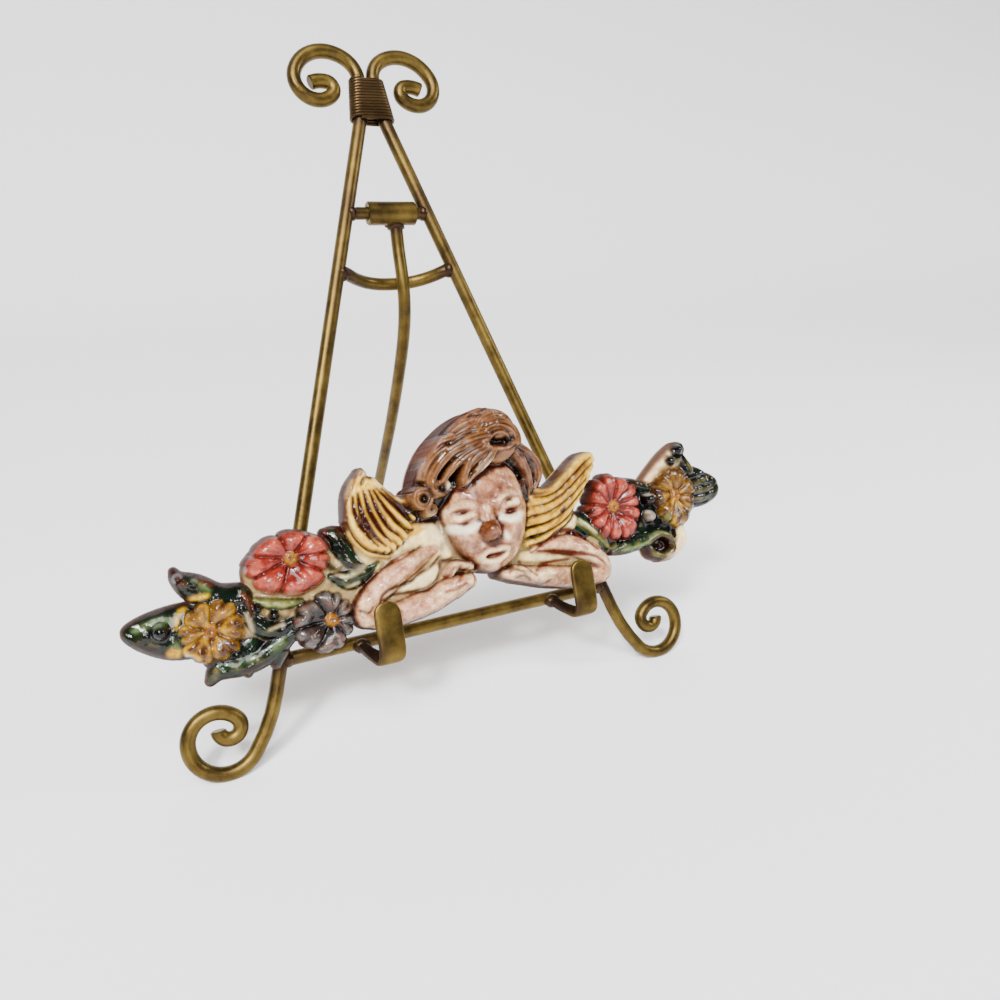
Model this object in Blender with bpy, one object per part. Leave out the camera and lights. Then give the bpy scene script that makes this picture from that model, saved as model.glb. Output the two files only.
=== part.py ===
"""Glazed cherub wall plaque standing on its wire easel. Units are metres, +Z is up, -Y faces the viewer.

The easel is flat except for its hooks and rear leg. It is drawn in millimetres in its own plane
and then leaned back: u runs to the right, v up the slope and w to the back.
"""
import math

import bmesh
import bpy
import numpy as np

MM = 0.001
LEAN = math.radians(22.5)
GAP = 0.3

# Easel rods
ROD = 3.0
BAR_HALF = 76.0
TAPER = 0.3163
NECK_V = 222.0
NECK = (3.4, 240.0)
FOOT_V = -12.0
WRAP_TOP = 241.4
HINGE_V = 181.8
HINGE_ROD = 2.7
BARREL = (-9.4, 12.4)
BARREL_IN = 3.0
BARREL_OUT = 5.0
BOW_V = 156.0
BOW_SAG = 2.0
BOW_DEPTH = 11.6
BOW_ROD = 2.8
LEG_U = 3.5
LEG_ROD = 2.9

# Floor point under the middle of the whole object, before it is moved to the origin
ORIGIN = (9.35, 73.25, -37.3)
WRAP_WALL = 1.2

# Scrolls as arcs, each a radius and the degrees turned
TOP_ARCS = ((10.4, 60.6), (15.3, 102.8), (9.0, 160.8), (3.3, 123.3), (11.8, 36.6))
FOOT_ARCS = ((65.7, 20.9), (13.3, 146.3), (10.7, 134.9), (4.7, 75.7), (4.2, 146.1))
SIDES = 10

# Hook prong: the offset from the weld in u, then v, w, half width and half thickness
HOOK_SHAPE = (
    (0.0, -1.4, -5.7, 2.0, 2.0),
    (1.2, -3.4, -9.0, 2.4, 1.9),
    (3.6, -5.6, -13.5, 3.4, 1.6),
    (6.2, -7.2, -17.2, 4.8, 1.4),
    (7.6, -6.6, -19.3, 5.3, 1.3),
    (8.2, -3.5, -20.2, 5.5, 1.25),
    (8.4, 2.0, -20.3, 5.5, 1.25),
    (8.5, 11.0, -20.1, 5.5, 1.25),
    (8.5, 14.2, -20.0, 4.7, 1.25),
    (8.5, 15.9, -20.0, 3.1, 1.2),
    (8.5, 16.5, -20.0, 1.2, 1.0),
)
HOOK_LEFT = -43.6
HOOK_RIGHT = 46.6

# Plaque
BACK_W = -3.3
GRID = 2.5
SOFTEN = 0.8
EDGE = 3.6
EDGE_ROUND = 1.6

# Parts of the relief, each a path of (u, v, radius, height)
SLABS = (
    ((-95, 20, 8, 7), (-84, 20, 10, 7.5), (-75, 20, 12, 7.5), (-60, 26, 14, 7.5), (-48, 30, 13, 7.5),
     (-42, 32, 11, 8)),
    ((-50, 47, 3, 7), (-46, 44, 6, 7.5), (-38, 33, 7, 8), (-30, 30, 6, 8.5)),
    ((-28, 36, 6, 9), (-14, 36, 12, 10), (-4, 38, 11, 11), (2, 26, 7, 11), (6, 24, 5, 11)),
    ((6, 58, 8, 10), (14, 62, 10, 10), (28, 57, 9, 10), (32, 36, 8, 10), (31, 28, 6, 9)),
    ((42, 30, 5, 9), (58, 34, 6, 9)),
    ((-34, 16, 5, 9), (-20, 20, 7, 9), (-6, 22, 7, 10), (3, 22, 6.5, 11)),
    ((-100, 8, 5, 6.5), (-86, 9, 6, 7)),
    ((70, 22, 5, 8), (80, 20, 5, 7.5)),
    ((103, 13.5, 5, 6), (113, 14, 5, 6), (118, 20, 5, 6.5)),
    ((22, 22, 4, 10), (36, 22, 6, 9.5), (50, 20, 7, 9), (64, 17, 7, 8.5), (70, 22, 7, 8)),
    ((58, 28, 6, 8), (66, 30, 8, 8), (78, 29, 10, 8), (86, 32, 15, 7.5), (100, 30, 16, 7.5),
     (112, 30, 15, 7.5), (122, 37, 13, 7.5)),
)
LEAVES = (
    ((-129, 24, 1.6, 5), (-126, 23, 4.6, 6.5), (-120, 21.7, 7.9, 8.5), (-112, 20.3, 10.6, 9),
     (-104, 20, 11, 9)),
    ((-109.6, 42.8, 1.9, 6), (-108.2, 39.5, 3.4, 8.5), (-103, 35, 5.8, 9), (-96, 30, 6, 9),
     (-88, 29, 5.5, 8.5)),
    ((-103, -0.6, 2.3, 5), (-99, 3, 4.3, 7), (-91, 2.6, 4.4, 8), (-84, 4.2, 4.8, 8), (-76, 8, 4.6, 8.5),
     (-70, 12, 3.5, 8.5)),
    ((-89.3, -0.6, 2.2, 6), (-88, 2, 3, 7)),
    ((-78.5, 0.3, 2.4, 6), (-76, 5, 3.4, 8)),
    ((-83, 26.5, 1.8, 8.5), (-76, 23.5, 3.2, 9.5), (-66, 22.5, 2.4, 9)),
    ((-50, 46.5, 2.6, 8), (-46.5, 40, 4.2, 9), (-42.5, 34, 3.6, 9.5), (-38, 30.5, 1.8, 9)),
    ((-52, 29, 2.4, 8.5), (-46, 26.5, 4.2, 9.5), (-38, 29, 3.4, 9.5), (-33.5, 31.5, 1.6, 9)),
    ((62, 33, 2.0, 9), (68, 29, 3.4, 9.8), (74, 23, 3.4, 9.5), (77, 18.5, 2.0, 8.5)),
    ((79.5, 15.5, 1.8, 7), (87, 17, 4.2, 8.5), (95, 18, 4.6, 9), (103, 18, 4.2, 9)),
    ((90, 48, 2.5, 8), (97, 45.6, 3.2, 9), (103, 43, 3.0, 9)),
    ((103.5, 45.5, 2.4, 7), (112, 49, 5.2, 8.5), (120, 53.5, 6.4, 9.5), (125.5, 58, 5.0, 9),
     (127.6, 60, 3.1, 8)),
    ((124, 40, 12, 8.5), (132, 39.5, 11.0, 9), (137, 38, 9.3, 8.5), (142, 37.7, 7.4, 8),
     (144.8, 37.4, 3.9, 6.5)),
    ((119.8, 20, 3.4, 8), (119.4, 14.6, 3.8, 8.5), (112.5, 9.6, 3.8, 8), (106, 8.4, 2.8, 7.5)),
    ((99, 17, 3.2, 9.5), (105, 19.6, 2.8, 11.5), (110.6, 17, 2.8, 11.5), (111.4, 11.6, 2.8, 11),
     (107, 8.8, 2.6, 10), (101.6, 10.6, 2.6, 9), (100, 14, 2.4, 9)),
)
DROPS = (
    (-117, 22, 4.0, 12.5), (-108.5, 40, 2.2, 11), (-103.5, 37, 2.4, 11), (-82.5, 23.5, 2.4, 11.5),
    (-77, 19.8, 2.5, 10.8), (102.3, 37.2, 4.0, 13), (101.3, 29.4, 3.6, 13), (118, 54, 3.2, 12.5),
    (124.6, 58.8, 3.0, 11.5), (69.8, 37, 2.2, 11.5),
)
# Flowers: centre, two radii, petals, turn in degrees, height at the petals and at the button
FLOWERS = (
    ((-99.6, 18.6), (12.3, 12.3), 5, 10, 12.5, 11.5),
    ((-67.2, 38.2), (17.6, 13.2), 7, 28, 13.0, 12.5),
    ((-56.2, 12.2), (12.4, 12.2), 5, 18, 12.0, 12.5),
    ((82.6, 36.4), (15.0, 16.6), 12, 0, 12.5, 12.5),
    ((117.6, 36.4), (13.0, 15.0), 6, 20, 12.5, 12.0),
)
WINGS = (
    ((-34, 69, 3.0, 10), (-36.5, 60, 6.8, 10), (-35.5, 50, 8.6, 9.5), (-31, 42, 9.0, 9),
     (-18, 42, 10, 9.5), (-8, 44, 10, 10)),
    ((-30.5, 64, 4.0, 10), (-26, 55, 5.0, 10), (-17, 51, 6.5, 10)),
    ((38, 38, 9.5, 11), (50, 41.5, 9.3, 10.5), (60, 48.8, 8.3, 10), (69, 57.5, 6.6, 10),
     (72.6, 61.2, 3.9, 9)),
)
WING_RIM = ((-33.8, 70.6, 1.3, 11), (-38.2, 66, 1.6, 12), (-42, 58.5, 1.7, 12), (-43.2, 51, 1.7, 11.5),
    (-41.6, 43.5, 1.7, 11), (-37, 37, 1.7, 11), (-29, 34, 1.6, 11))
# Feathers of each wing: the first, middle and last one, and how many there are
FANS = (
    (
        ((-37.2, 66, 1.0, 11.5), (-40, 58, 1.7, 12), (-40, 50, 2.1, 12), (-37, 42.5, 2.0, 11.5),
         (-33, 38.5, 1.5, 11)),
        ((-32.8, 67, 1.0, 11.5), (-32, 58, 1.7, 13), (-29.8, 50.4, 2.1, 13), (-26.2, 43.8, 2.0, 12.5),
         (-21.8, 39.2, 1.5, 11.5)),
        ((-28.8, 63.5, 1.0, 11), (-24.6, 58.6, 1.7, 12), (-21, 55.8, 1.9, 12), (-17.8, 53, 1.7, 11.5),
         (-14.5, 50.6, 1.4, 11)),
        7,
    ),
    (
        ((43, 49.8, 1.4, 12.5), (52, 50.4, 2.0, 12), (61, 56.4, 2.3, 12), (71.4, 62.8, 2.2, 11)),
        ((37.4, 41.2, 2.2, 14), (49, 41.8, 2.5, 13.5), (59.3, 46, 2.5, 12.5), (72, 56, 2.0, 11)),
        ((34.5, 28.6, 2.0, 12.5), (44, 29.6, 2.0, 12), (53, 34, 1.8, 11), (59.5, 38.8, 1.2, 10)),
        6,
    ),
)
ARMS = (
    ((-9, 33.5, 4, 11), (-20, 29.6, 6, 12.8), (-31, 23.6, 6.4, 13.5), (-40, 16.4, 6.2, 13.5),
     (-42, 12.2, 5.5, 12.8)),
    ((-41.5, 10.9, 5.3, 12.8), (-33, 9.4, 5.8, 13.4), (-22, 10.6, 6.3, 13.8), (-12, 12.4, 6.2, 14.5),
     (-4, 16, 6.6, 15.5)),
    ((-2, 16.4, 6.8, 16.5), (3.4, 17.2, 4.6, 17)),
    ((-5, 22.4, 2.6, 17), (-1, 25.2, 2.4, 18), (4, 23.4, 2.2, 18)),
    ((36.5, 24.2, 2.4, 11), (45, 24.6, 4.4, 12.6), (54, 23.6, 5.4, 13.5), (63, 19.6, 5.8, 13.5),
     (70, 13.4, 5.8, 13), (71.2, 10.0, 5.8, 12.5)),
    ((70.4, 8.2, 6.0, 12.5), (62, 8.0, 5.9, 13), (52, 9.4, 5.8, 13.6), (42, 11.5, 5.7, 14.2),
     (33, 13.8, 5, 15), (27, 15.6, 4.8, 16)),
    ((24.5, 16.4, 4.6, 17), (19.5, 17.0, 2.9, 17)),
)
# Face: centre, half width, reach down and up. It narrows to the chin
FACE = ((15.6, 41.5), 20.8, 23.6, 31.0)
FACE_HEIGHT = 24.0
CHIN_TAPER = 0.0105
ROUNDNESS = 2.5
# Swellings and dips, added to the relief, each a path of (u, v, radius, rise)
SWELLINGS = (
    ((11.2, 47, 3.4, 1.6), (11.6, 42, 4.4, 3.0), (11.9, 38.4, 5.6, 3.4)),
    ((11.9, 37.3, 6.2, 4.6),),
    ((3.2, 34.5, 8.5, 1.8),),
    ((23.6, 35.0, 8.5, 1.8),),
    ((-2.0, 48.0, 3.2, 1.2), (2.5, 49.4, 3.4, 1.6), (8.0, 48.6, 3.0, 1.2)),
    ((16.0, 49.4, 3.0, 1.2), (21.5, 50.8, 3.4, 1.6), (28.0, 49.6, 3.2, 1.2)),
    ((3.2, 44.6, 5.0, -2.4),),
    ((22.4, 45.6, 5.0, -2.4),),
    ((0.2, 42.9, 2.7, 1.8), (5.4, 42.6, 2.7, 1.8)),
    ((19.4, 44.0, 2.7, 1.8), (25.4, 44.4, 2.7, 1.6)),
    ((9.6, 28.4, 1.9, 1.8), (14.6, 29.4, 2.1, 2.4), (20.0, 29.0, 1.9, 1.6)),
    ((10.4, 26.0, 1.9, 1.8), (14.9, 24.4, 2.3, 2.6), (19.4, 26.4, 1.9, 1.8)),
    ((12.8, 26.9, 1.2, -3.0), (17.0, 27.0, 1.2, -3.0)),
    ((14.9, 21.4, 4.6, 2.2),),
    ((25.6, 76.4, 3.0, -3.0), (28.6, 76.0, 2.6, -2.5)),
    ((105.0, 13.2, 2.2, -2.5),),
)
HAIR = (
    ((-10, 56.6, 6.6, 15), (-6, 63, 7.6, 18), (0, 70, 8.6, 22), (7.4, 76, 9.0, 25), (14, 78.4, 9.6, 26.5),
     (22, 79.4, 10.0, 26.5), (28, 76, 9.4, 23)),
    ((-8, 52, 5, 14), (2, 58, 7, 18)),
    ((34, 54, 6, 15), (36, 46, 6, 12)),
    ((26, 73, 10.4, 22), (36.5, 64, 7.2, 17), (41.5, 61, 6.4, 13), (41.6, 55, 6.0, 12)),
    ((17, 77.4, 3.6, 28), (8, 73, 4.2, 27.5), (0, 68, 4.0, 25.5), (-6.6, 61, 3.6, 22)),
    ((24, 75.4, 3.4, 28.5), (18, 69.4, 3.6, 28), (12, 64, 2.8, 27), (8, 60, 1.5, 25)),
    ((-5, 59.6, 4.0, 22), (-4.4, 58.6, 3.4, 22)),
    ((-13.6, 55.4, 2.9, 14), (-10.4, 53.4, 3.4, 18), (-8.2, 48.8, 2.5, 17)),
    ((-10.5, 66, 2.8, 19), (-4.4, 71.4, 2.8, 23.5), (-1, 77, 3.0, 24.5), (3.6, 79.5, 2.8, 25)),
    ((10, 82.4, 3.6, 25), (19, 84.6, 4.0, 25.5), (27, 82.6, 4.0, 25.5), (31.6, 77.6, 3.2, 24.5)),
    ((22, 72.2, 2.6, 28), (28, 71.2, 2.6, 26), (33, 70.6, 2.2, 22)),
    ((35, 67, 2.8, 21), (41, 65.4, 2.8, 17.5), (44.6, 61.4, 2.5, 14.5), (43.4, 55.4, 2.3, 13),
     (40.4, 50.6, 2.2, 13.5)),
)
# Finishes: colour, roughness, metallic
GLAZE = ((0.78, 0.66, 0.50), 0.15, 0.0)
BRASS = ((0.33, 0.22, 0.07), 0.38, 0.9)
DARK_WIRE = ((0.13, 0.08, 0.035), 0.45, 0.85)


def material(name, finish):
    colour, roughness, metallic = finish
    mat = bpy.data.materials.new(name)
    mat.use_nodes = True
    shader = mat.node_tree.nodes["Principled BSDF"]
    shader.inputs["Base Color"].default_value = (*colour, 1.0)
    shader.inputs["Roughness"].default_value = roughness
    shader.inputs["Metallic"].default_value = metallic
    return mat


def world(points):
    """Easel coordinates in millimetres to metres, leaned back and set on the floor."""
    u, v, w = np.asarray(points, float).T
    y = v * math.sin(LEAN) + w * math.cos(LEAN)
    z = v * math.cos(LEAN) - w * math.sin(LEAN)
    return (np.stack([u, y, z], axis=1) - ORIGIN) * MM


def add_mesh(name, points, faces, finish, pivot=(0.0, 0.0, 0.0)):
    """Closed mesh with its own material. A moving piece has its origin at its pivot."""
    mesh = bpy.data.meshes.new(name)
    mesh.from_pydata((points - pivot).tolist(), [], faces)
    solid = bmesh.new()
    solid.from_mesh(mesh)
    bmesh.ops.recalc_face_normals(solid, faces=solid.faces)
    for face in solid.faces:
        face.smooth = len(face.verts) < 5
    solid.to_mesh(mesh)
    solid.free()
    mesh.materials.append(material(name, finish))
    obj = bpy.data.objects.new(name, mesh)
    obj.location = pivot
    bpy.context.scene.collection.objects.link(obj)
    return obj


def loft_faces(rings, sides, closed=False):
    """Side faces between rings of equal size, with an end face on the first and the last."""
    faces = []
    last = rings if closed else rings - 1
    for ring in range(last):
        following = (ring + 1) % rings
        for side in range(sides):
            turn = (side + 1) % sides
            near, far = ring * sides, following * sides
            faces.append((near + side, near + turn, far + turn, far + side))
    if not closed:
        faces.append(tuple(reversed(range(sides))))
        faces.append(tuple(range((rings - 1) * sides, rings * sides)))
    return faces


def rod(name, path, radius, start_cut=None, end_cut=None, pivot=(0.0, 0.0, 0.0)):
    """Round rod along a path in easel coordinates. A cut slides its end ring along u to a new plane."""
    path = np.asarray(path, float)
    heading = np.gradient(path, axis=0)
    heading /= np.linalg.norm(heading, axis=1)[:, None]
    across = np.cross(heading[0], (0.0, 0.0, 1.0))
    if np.linalg.norm(across) < 0.1:
        across = np.cross(heading[0], (0.0, 1.0, 0.0))
    rings = []
    for centre, ahead in zip(path, heading):
        across = across - ahead * np.dot(across, ahead)
        across /= np.linalg.norm(across)
        side = np.cross(ahead, across)
        angles = np.arange(SIDES) * 2 * math.pi / SIDES
        rings.append(centre + radius * (np.outer(np.cos(angles), across) + np.outer(np.sin(angles), side)))
    for cut, ring in ((start_cut, rings[0]), (end_cut, rings[-1])):
        if cut is not None:
            ring[:, 0] = cut(ring[:, 1])
    points = world(np.concatenate(rings))
    return add_mesh(name, points, loft_faces(len(rings), SIDES), BRASS, pivot)


def arc_path(start, heading, arcs, turn, step):
    """Bend a wire from a start point through arcs. The turn is 1 to the left and -1 to the right."""
    point = np.array(start, float)
    points = [point]
    for radius, degrees in arcs:
        count = max(2, round(degrees / step))
        part = math.radians(degrees) / count
        for _ in range(count):
            middle = heading + turn * part / 2
            point = point + 2 * radius * math.sin(part / 2) * np.array((math.cos(middle), math.sin(middle)))
            heading += turn * part
            points.append(point)
    return points


def half_width(v):
    return BAR_HALF - TAPER * v


def side_rod_paths(step):
    """Right foot scroll, upright and top scroll: one rod in three nodes, each open where the wire is."""
    slope = math.atan2(1.0, -TAPER)
    foot = [(half_width(FOOT_V + 2.0), FOOT_V + 2.0)]
    foot += arc_path((half_width(FOOT_V), FOOT_V), slope - math.pi, FOOT_ARCS, 1, step)
    bend = np.array((half_width(NECK_V) - 0.1, NECK_V + 0.6))
    neck = np.array(NECK)
    lean = math.atan2(neck[1] - NECK_V, neck[0] - half_width(NECK_V))
    shaft = [(half_width(v), v) for v in (FOOT_V + 2.0 + GAP, 70.0, NECK_V - 3.0)]
    shaft += [bend, neck + (bend - neck) * 0.14]
    top = [neck + (bend - neck) * 0.12] + arc_path(neck, lean, TOP_ARCS, -1, step)
    return [np.array([(u, v, 0.0) for u, v in path]) for path in (foot, shaft, top)]


def cut_floor(obj):
    """Grind a flat spot where the rod stands on the floor."""
    plan = ((-0.5, -0.5), (0.5, -0.5), (0.5, 0.5), (-0.5, 0.5))
    corners = [(x, y, z) for z in (-0.05, 0.0) for x, y in plan]
    faces = [(3, 2, 1, 0), (4, 5, 6, 7), (0, 1, 5, 4), (1, 2, 6, 5), (2, 3, 7, 6), (3, 0, 4, 7)]
    cutter = bpy.data.objects.get("floor_cutter")
    if cutter is None:
        cutter = add_mesh("floor_cutter", np.array(corners), faces, BRASS)
        cutter.hide_render = True
        cutter.display_type = "WIRE"
    cut = obj.modifiers.new("floor_cut", "BOOLEAN")
    cut.operation = "DIFFERENCE"
    cut.solver = "EXACT"
    cut.object = cutter


def capsule_ring(separation, radius, sides):
    """Outline round two side by side circles."""
    angles = (np.arange(sides) + 0.5) * 2 * math.pi / sides
    across = np.cos(angles) * radius + np.sign(np.cos(angles)) * separation
    return across, np.sin(angles) * radius


def neck_wrap():
    """Tapered sleeve of wire round both uprights."""
    sides = 20
    rings = []
    for radius, order in ((ROD + GAP, (NECK_V, WRAP_TOP)), (ROD + GAP + WRAP_WALL, (WRAP_TOP, NECK_V))):
        for v in order:
            share = (v - NECK_V) / (WRAP_TOP - NECK_V)
            separation = half_width(NECK_V) * (1 - share) + 3.4 * share
            across, depth = capsule_ring(separation, radius, sides)
            rings.append(np.stack([across, np.full(sides, v), depth], axis=1))
    points = world(np.concatenate(rings))
    return add_mesh("neck_wrap", points, loft_faces(4, sides, closed=True), DARK_WIRE)


def barrel(pivot):
    """Sleeve that turns on the hinge rod."""
    sides = 20
    angles = np.arange(sides) * 2 * math.pi / sides
    rings = []
    for radius, order in ((BARREL_IN, BARREL), (BARREL_OUT, BARREL[::-1])):
        for u in order:
            up, back = HINGE_V + radius * np.cos(angles), radius * np.sin(angles)
            rings.append(np.stack([np.full(sides, u), up, back], axis=1))
    points = world(np.concatenate(rings))
    return add_mesh("hinge_barrel", points, loft_faces(4, sides, closed=True), BRASS, pivot)


def rear_leg_path():
    slope = (
        (176.8, 2.3), (167.0, 4.0), (154.0, 5.2), (143.0, 8.6), (132.0, 16.4), (118.5, 31.6),
        (98.5, 58.5), (71.0, 101.0),
    )
    far = (71.0 - 46.0, 101.0 + 71.0)
    return np.array([(LEG_U, v, w) for v, w in slope + (far,)])


def bow_path():
    """Rod from one upright to the other, bowed to the back and sagging a little."""
    reach = half_width(BOW_V) - ROD - GAP
    points = []
    for share in np.linspace(-1.0, 1.0, 13):
        bulge = 1.0 - abs(share) ** 2.4
        points.append((reach * share, BOW_V - BOW_SAG * bulge, BOW_DEPTH * bulge))
    return np.array(points)


def hook(name, weld):
    """Flattened prong that runs forward from the crossbar and turns up in front of the plaque."""
    sides = 12
    stations = np.array(HOOK_SHAPE)
    centres = stations[:, :3] + (weld, 0.0, 0.0)
    heading = np.gradient(centres, axis=0)
    heading[:, 0] = 0.0
    heading /= np.linalg.norm(heading, axis=1)[:, None]
    angles = (np.arange(sides) + 0.5) * 2 * math.pi / sides
    square = 0.55
    across = np.sign(np.cos(angles)) * np.abs(np.cos(angles)) ** square
    through = np.sign(np.sin(angles)) * np.abs(np.sin(angles)) ** square
    rings = []
    for centre, ahead, half, thick in zip(centres, heading, stations[:, 3], stations[:, 4]):
        normal = np.cross(ahead, (1.0, 0.0, 0.0))
        rings.append(centre + np.outer(across * half, (1.0, 0.0, 0.0)) + np.outer(through * thick, normal))
    return add_mesh(name, world(np.concatenate(rings)), loft_faces(len(rings), sides), BRASS)


def tube(grid_u, grid_v, path):
    """Depth inside a path of discs, and the height of the rounded ridge along it."""
    path = np.asarray(path, float)
    if len(path) == 1:
        path = np.repeat(path, 2, axis=0) + ((0, 0, 0, 0), (0.01, 0, 0, 0))
    depth = np.full(grid_u.shape, -1e3)
    height = np.zeros(grid_u.shape)
    for start, end in zip(path[:-1], path[1:]):
        run = end[:2] - start[:2]
        ahead = (grid_u - start[0]) * run[0] + (grid_v - start[1]) * run[1]
        share = np.clip(ahead / max(run @ run, 1e-9), 0, 1)
        radius = start[2] + share * (end[2] - start[2])
        crest = start[3] + share * (end[3] - start[3])
        inside = radius - np.hypot(grid_u - start[0] - share * run[0], grid_v - start[1] - share * run[1])
        rise = EDGE + (crest - EDGE) * dome(inside / radius)
        height = np.where(inside > 0, np.maximum(height, rise), height)
        depth = np.maximum(depth, inside)
    return depth, height


def swelling(grid_u, grid_v, path):
    """Soft bump, or dip, that fades out at its radius."""
    path = np.asarray(path, float)
    if len(path) == 1:
        path = np.repeat(path, 2, axis=0)
    rise = np.zeros(grid_u.shape)
    for start, end in zip(path[:-1], path[1:]):
        run = end[:2] - start[:2]
        ahead = (grid_u - start[0]) * run[0] + (grid_v - start[1]) * run[1]
        share = np.clip(ahead / max(run @ run, 1e-9), 0, 1)
        radius = start[2] + share * (end[2] - start[2])
        away = np.hypot(grid_u - start[0] - share * run[0], grid_v - start[1] - share * run[1]) / radius
        bump = (start[3] + share * (end[3] - start[3])) * np.clip(1.0 - away ** 2, 0.0, 1.0) ** 2
        rise = np.where(np.abs(bump) > np.abs(rise), bump, rise)
    return rise


def dome(share):
    """Quarter circle profile from 0 at the rim to 1 at the middle."""
    share = np.clip(share, 0.0, 1.0)
    return np.sqrt(np.clip(1.0 - (1.0 - share) ** 2, 0.0, 1.0))


def feathers(first, middle, last, count):
    """Paths spread evenly from the first feather through the middle one to the last."""
    first, middle, last = (np.array(path, float) for path in (first, middle, last))
    paths = []
    for share in np.linspace(0.0, 1.0, count):
        ends = first * (1 - share) * (1 - 2 * share) + last * share * (2 * share - 1)
        blend = ends + middle * 4 * share * (1 - share)
        paths.append(blend)
    return paths


def flower(grid_u, grid_v, centre, radii, petals, turn, height, button):
    """Open flower with rounded petals round a button."""
    du = (grid_u - centre[0]) / radii[0]
    dv = (grid_v - centre[1]) / radii[1]
    reach = np.hypot(du, dv)
    angle = np.arctan2(dv, du) - math.radians(turn)
    wave = np.abs(np.cos(angle * petals / 2))
    rim = 0.86 + 0.14 * wave ** 0.6
    share = reach / rim
    depth = (1.0 - share) * min(radii)
    petal = 0.45 + 0.55 * wave ** 0.7
    profile = dome(np.clip((1.0 - share) * 2.4, 0, 1)) * (0.72 + 0.28 * np.clip(share * 1.6, 0, 1))
    rise = EDGE + 2.5 + (height - EDGE - 2.5) * profile * petal
    knob = button * dome(1.0 - reach * min(radii) / 4.2)
    rise = np.maximum(rise, knob)
    return depth, np.where(depth > 0, rise, 0.0)


def face(grid_u, grid_v):
    (cu, cv), half, down, up = FACE
    wide = half * (1.0 - CHIN_TAPER * np.clip(cv + 3.0 - grid_v, 0.0, None))
    tall = np.where(grid_v < cv, down, up)
    reach = (np.abs((grid_u - cu) / wide) ** 2.3 + np.abs((grid_v - cv) / tall) ** 2.3) ** (1 / 2.3)
    rise = np.clip(1.0 - reach ** ROUNDNESS, 0.0, 1.0) ** (1 / ROUNDNESS)
    return (1.0 - reach) * half, np.where(reach < 1.0, EDGE + (FACE_HEIGHT - EDGE) * rise, 0.0)


def relief(grid_u, grid_v):
    """Depth inside the outline of the plaque and its height above the back."""
    depth = np.full(grid_u.shape, -1e3)
    height = np.zeros(grid_u.shape)
    paths = [WING_RIM, *SLABS, *LEAVES, *WINGS, *ARMS, *HAIR]
    paths += [(drop,) for drop in DROPS]
    for fan in FANS:
        paths += feathers(*fan)
    shapes = [tube(grid_u, grid_v, path) for path in paths]
    shapes += [flower(grid_u, grid_v, *row) for row in FLOWERS]
    shapes.append(face(grid_u, grid_v))
    for inside, rise in shapes:
        depth = np.maximum(depth, inside)
        height = np.maximum(height, rise)
    for path in SWELLINGS:
        height += swelling(grid_u, grid_v, path)
    return depth, height - EDGE_ROUND * (1.0 - dome(depth / EDGE_ROUND / 1.5))


def soft_height(u, v):
    """Height averaged over a small square, so that the coarse grid keeps the rounded forms."""
    total = np.zeros(u.shape)
    weight = np.full(u.shape, 1e-6)
    for du in (-SOFTEN, 0.0, SOFTEN):
        for dv in (-SOFTEN, 0.0, SOFTEN):
            depth, height = relief(u + du, v + dv)
            total += np.where(depth > 0, height, 0.0)
            weight += depth > 0
    return total / weight


def fill_pockets(depth):
    """Raise every spot outside the outline that can't be reached from the border of the grid."""
    empty = depth <= 0
    open_air = np.zeros(depth.shape, bool)
    open_air[0, :] = open_air[-1, :] = open_air[:, 0] = open_air[:, -1] = True
    while True:
        grown = open_air.copy()
        grown[1:, :] |= open_air[:-1, :]
        grown[:-1, :] |= open_air[1:, :]
        grown[:, 1:] |= open_air[:, :-1]
        grown[:, :-1] |= open_air[:, 1:]
        grown &= empty
        if (grown == open_air).all():
            return np.where(empty & ~open_air, 0.3, depth)
        open_air = grown


def crossing(a, b, depth_a, depth_b):
    share = depth_a / (depth_a - depth_b)
    return a + (b - a) * min(max(share, 0.02), 0.98)


def plaque():
    """Grid over the relief, trimmed to the outline, with straight walls down to a flat back."""
    us = np.arange(-132.0, 152.0, GRID)
    vs = np.arange(-6.0, 93.0, GRID)
    grid_u, grid_v = np.meshgrid(us, vs, indexing="ij")
    depth = fill_pockets(relief(grid_u, grid_v)[0])
    spots = []
    index = {}

    def corner(i, j):
        if (i, j) not in index:
            index[(i, j)] = len(spots)
            spots.append((us[i], vs[j]))
        return index[(i, j)]

    def edge(i, j, k, m):
        key = (i, j, k, m) if (i, j) < (k, m) else (k, m, i, j)
        if key not in index:
            i, j, k, m = key
            index[key] = len(spots)
            ends = depth[i, j], depth[k, m]
            spots.append((crossing(us[i], us[k], *ends), crossing(vs[j], vs[m], *ends)))
        return index[key]

    fronts = []
    for i in range(len(us) - 1):
        for j in range(len(vs) - 1):
            ring = ((i, j), (i + 1, j), (i + 1, j + 1), (i, j + 1))
            loop = []
            for here, there in zip(ring, ring[1:] + ring[:1]):
                if depth[here] > 0:
                    loop.append(corner(*here))
                if (depth[here] > 0) != (depth[there] > 0):
                    loop.append(edge(*here, *there))
            if len(loop) > 2:
                fronts.append(tuple(loop))
    spots = np.array(spots)
    height = np.maximum(soft_height(spots[:, 0], spots[:, 1]), EDGE - EDGE_ROUND)
    sides = {}
    for loop in fronts:
        for a, b in zip(loop, loop[1:] + loop[:1]):
            sides[(a, b)] = True
    rim = {a: b for a, b in sides if (b, a) not in sides}
    start = min(rim)
    outline = [start]
    while rim[outline[-1]] != start:
        outline.append(rim[outline[-1]])
    count = len(spots)
    order = {vertex: count + number for number, vertex in enumerate(outline)}
    walls = [(b, a, order[a], order[b]) for a, b in zip(outline, outline[1:] + outline[:1])]
    back = tuple(order[a] for a in reversed(outline))
    points = [(u, v, BACK_W - rise) for (u, v), rise in zip(spots, height)]
    points += [(spots[a][0], spots[a][1], BACK_W) for a in outline]
    return add_mesh("plaque", world(points), fronts + walls + [back], GLAZE)


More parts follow.
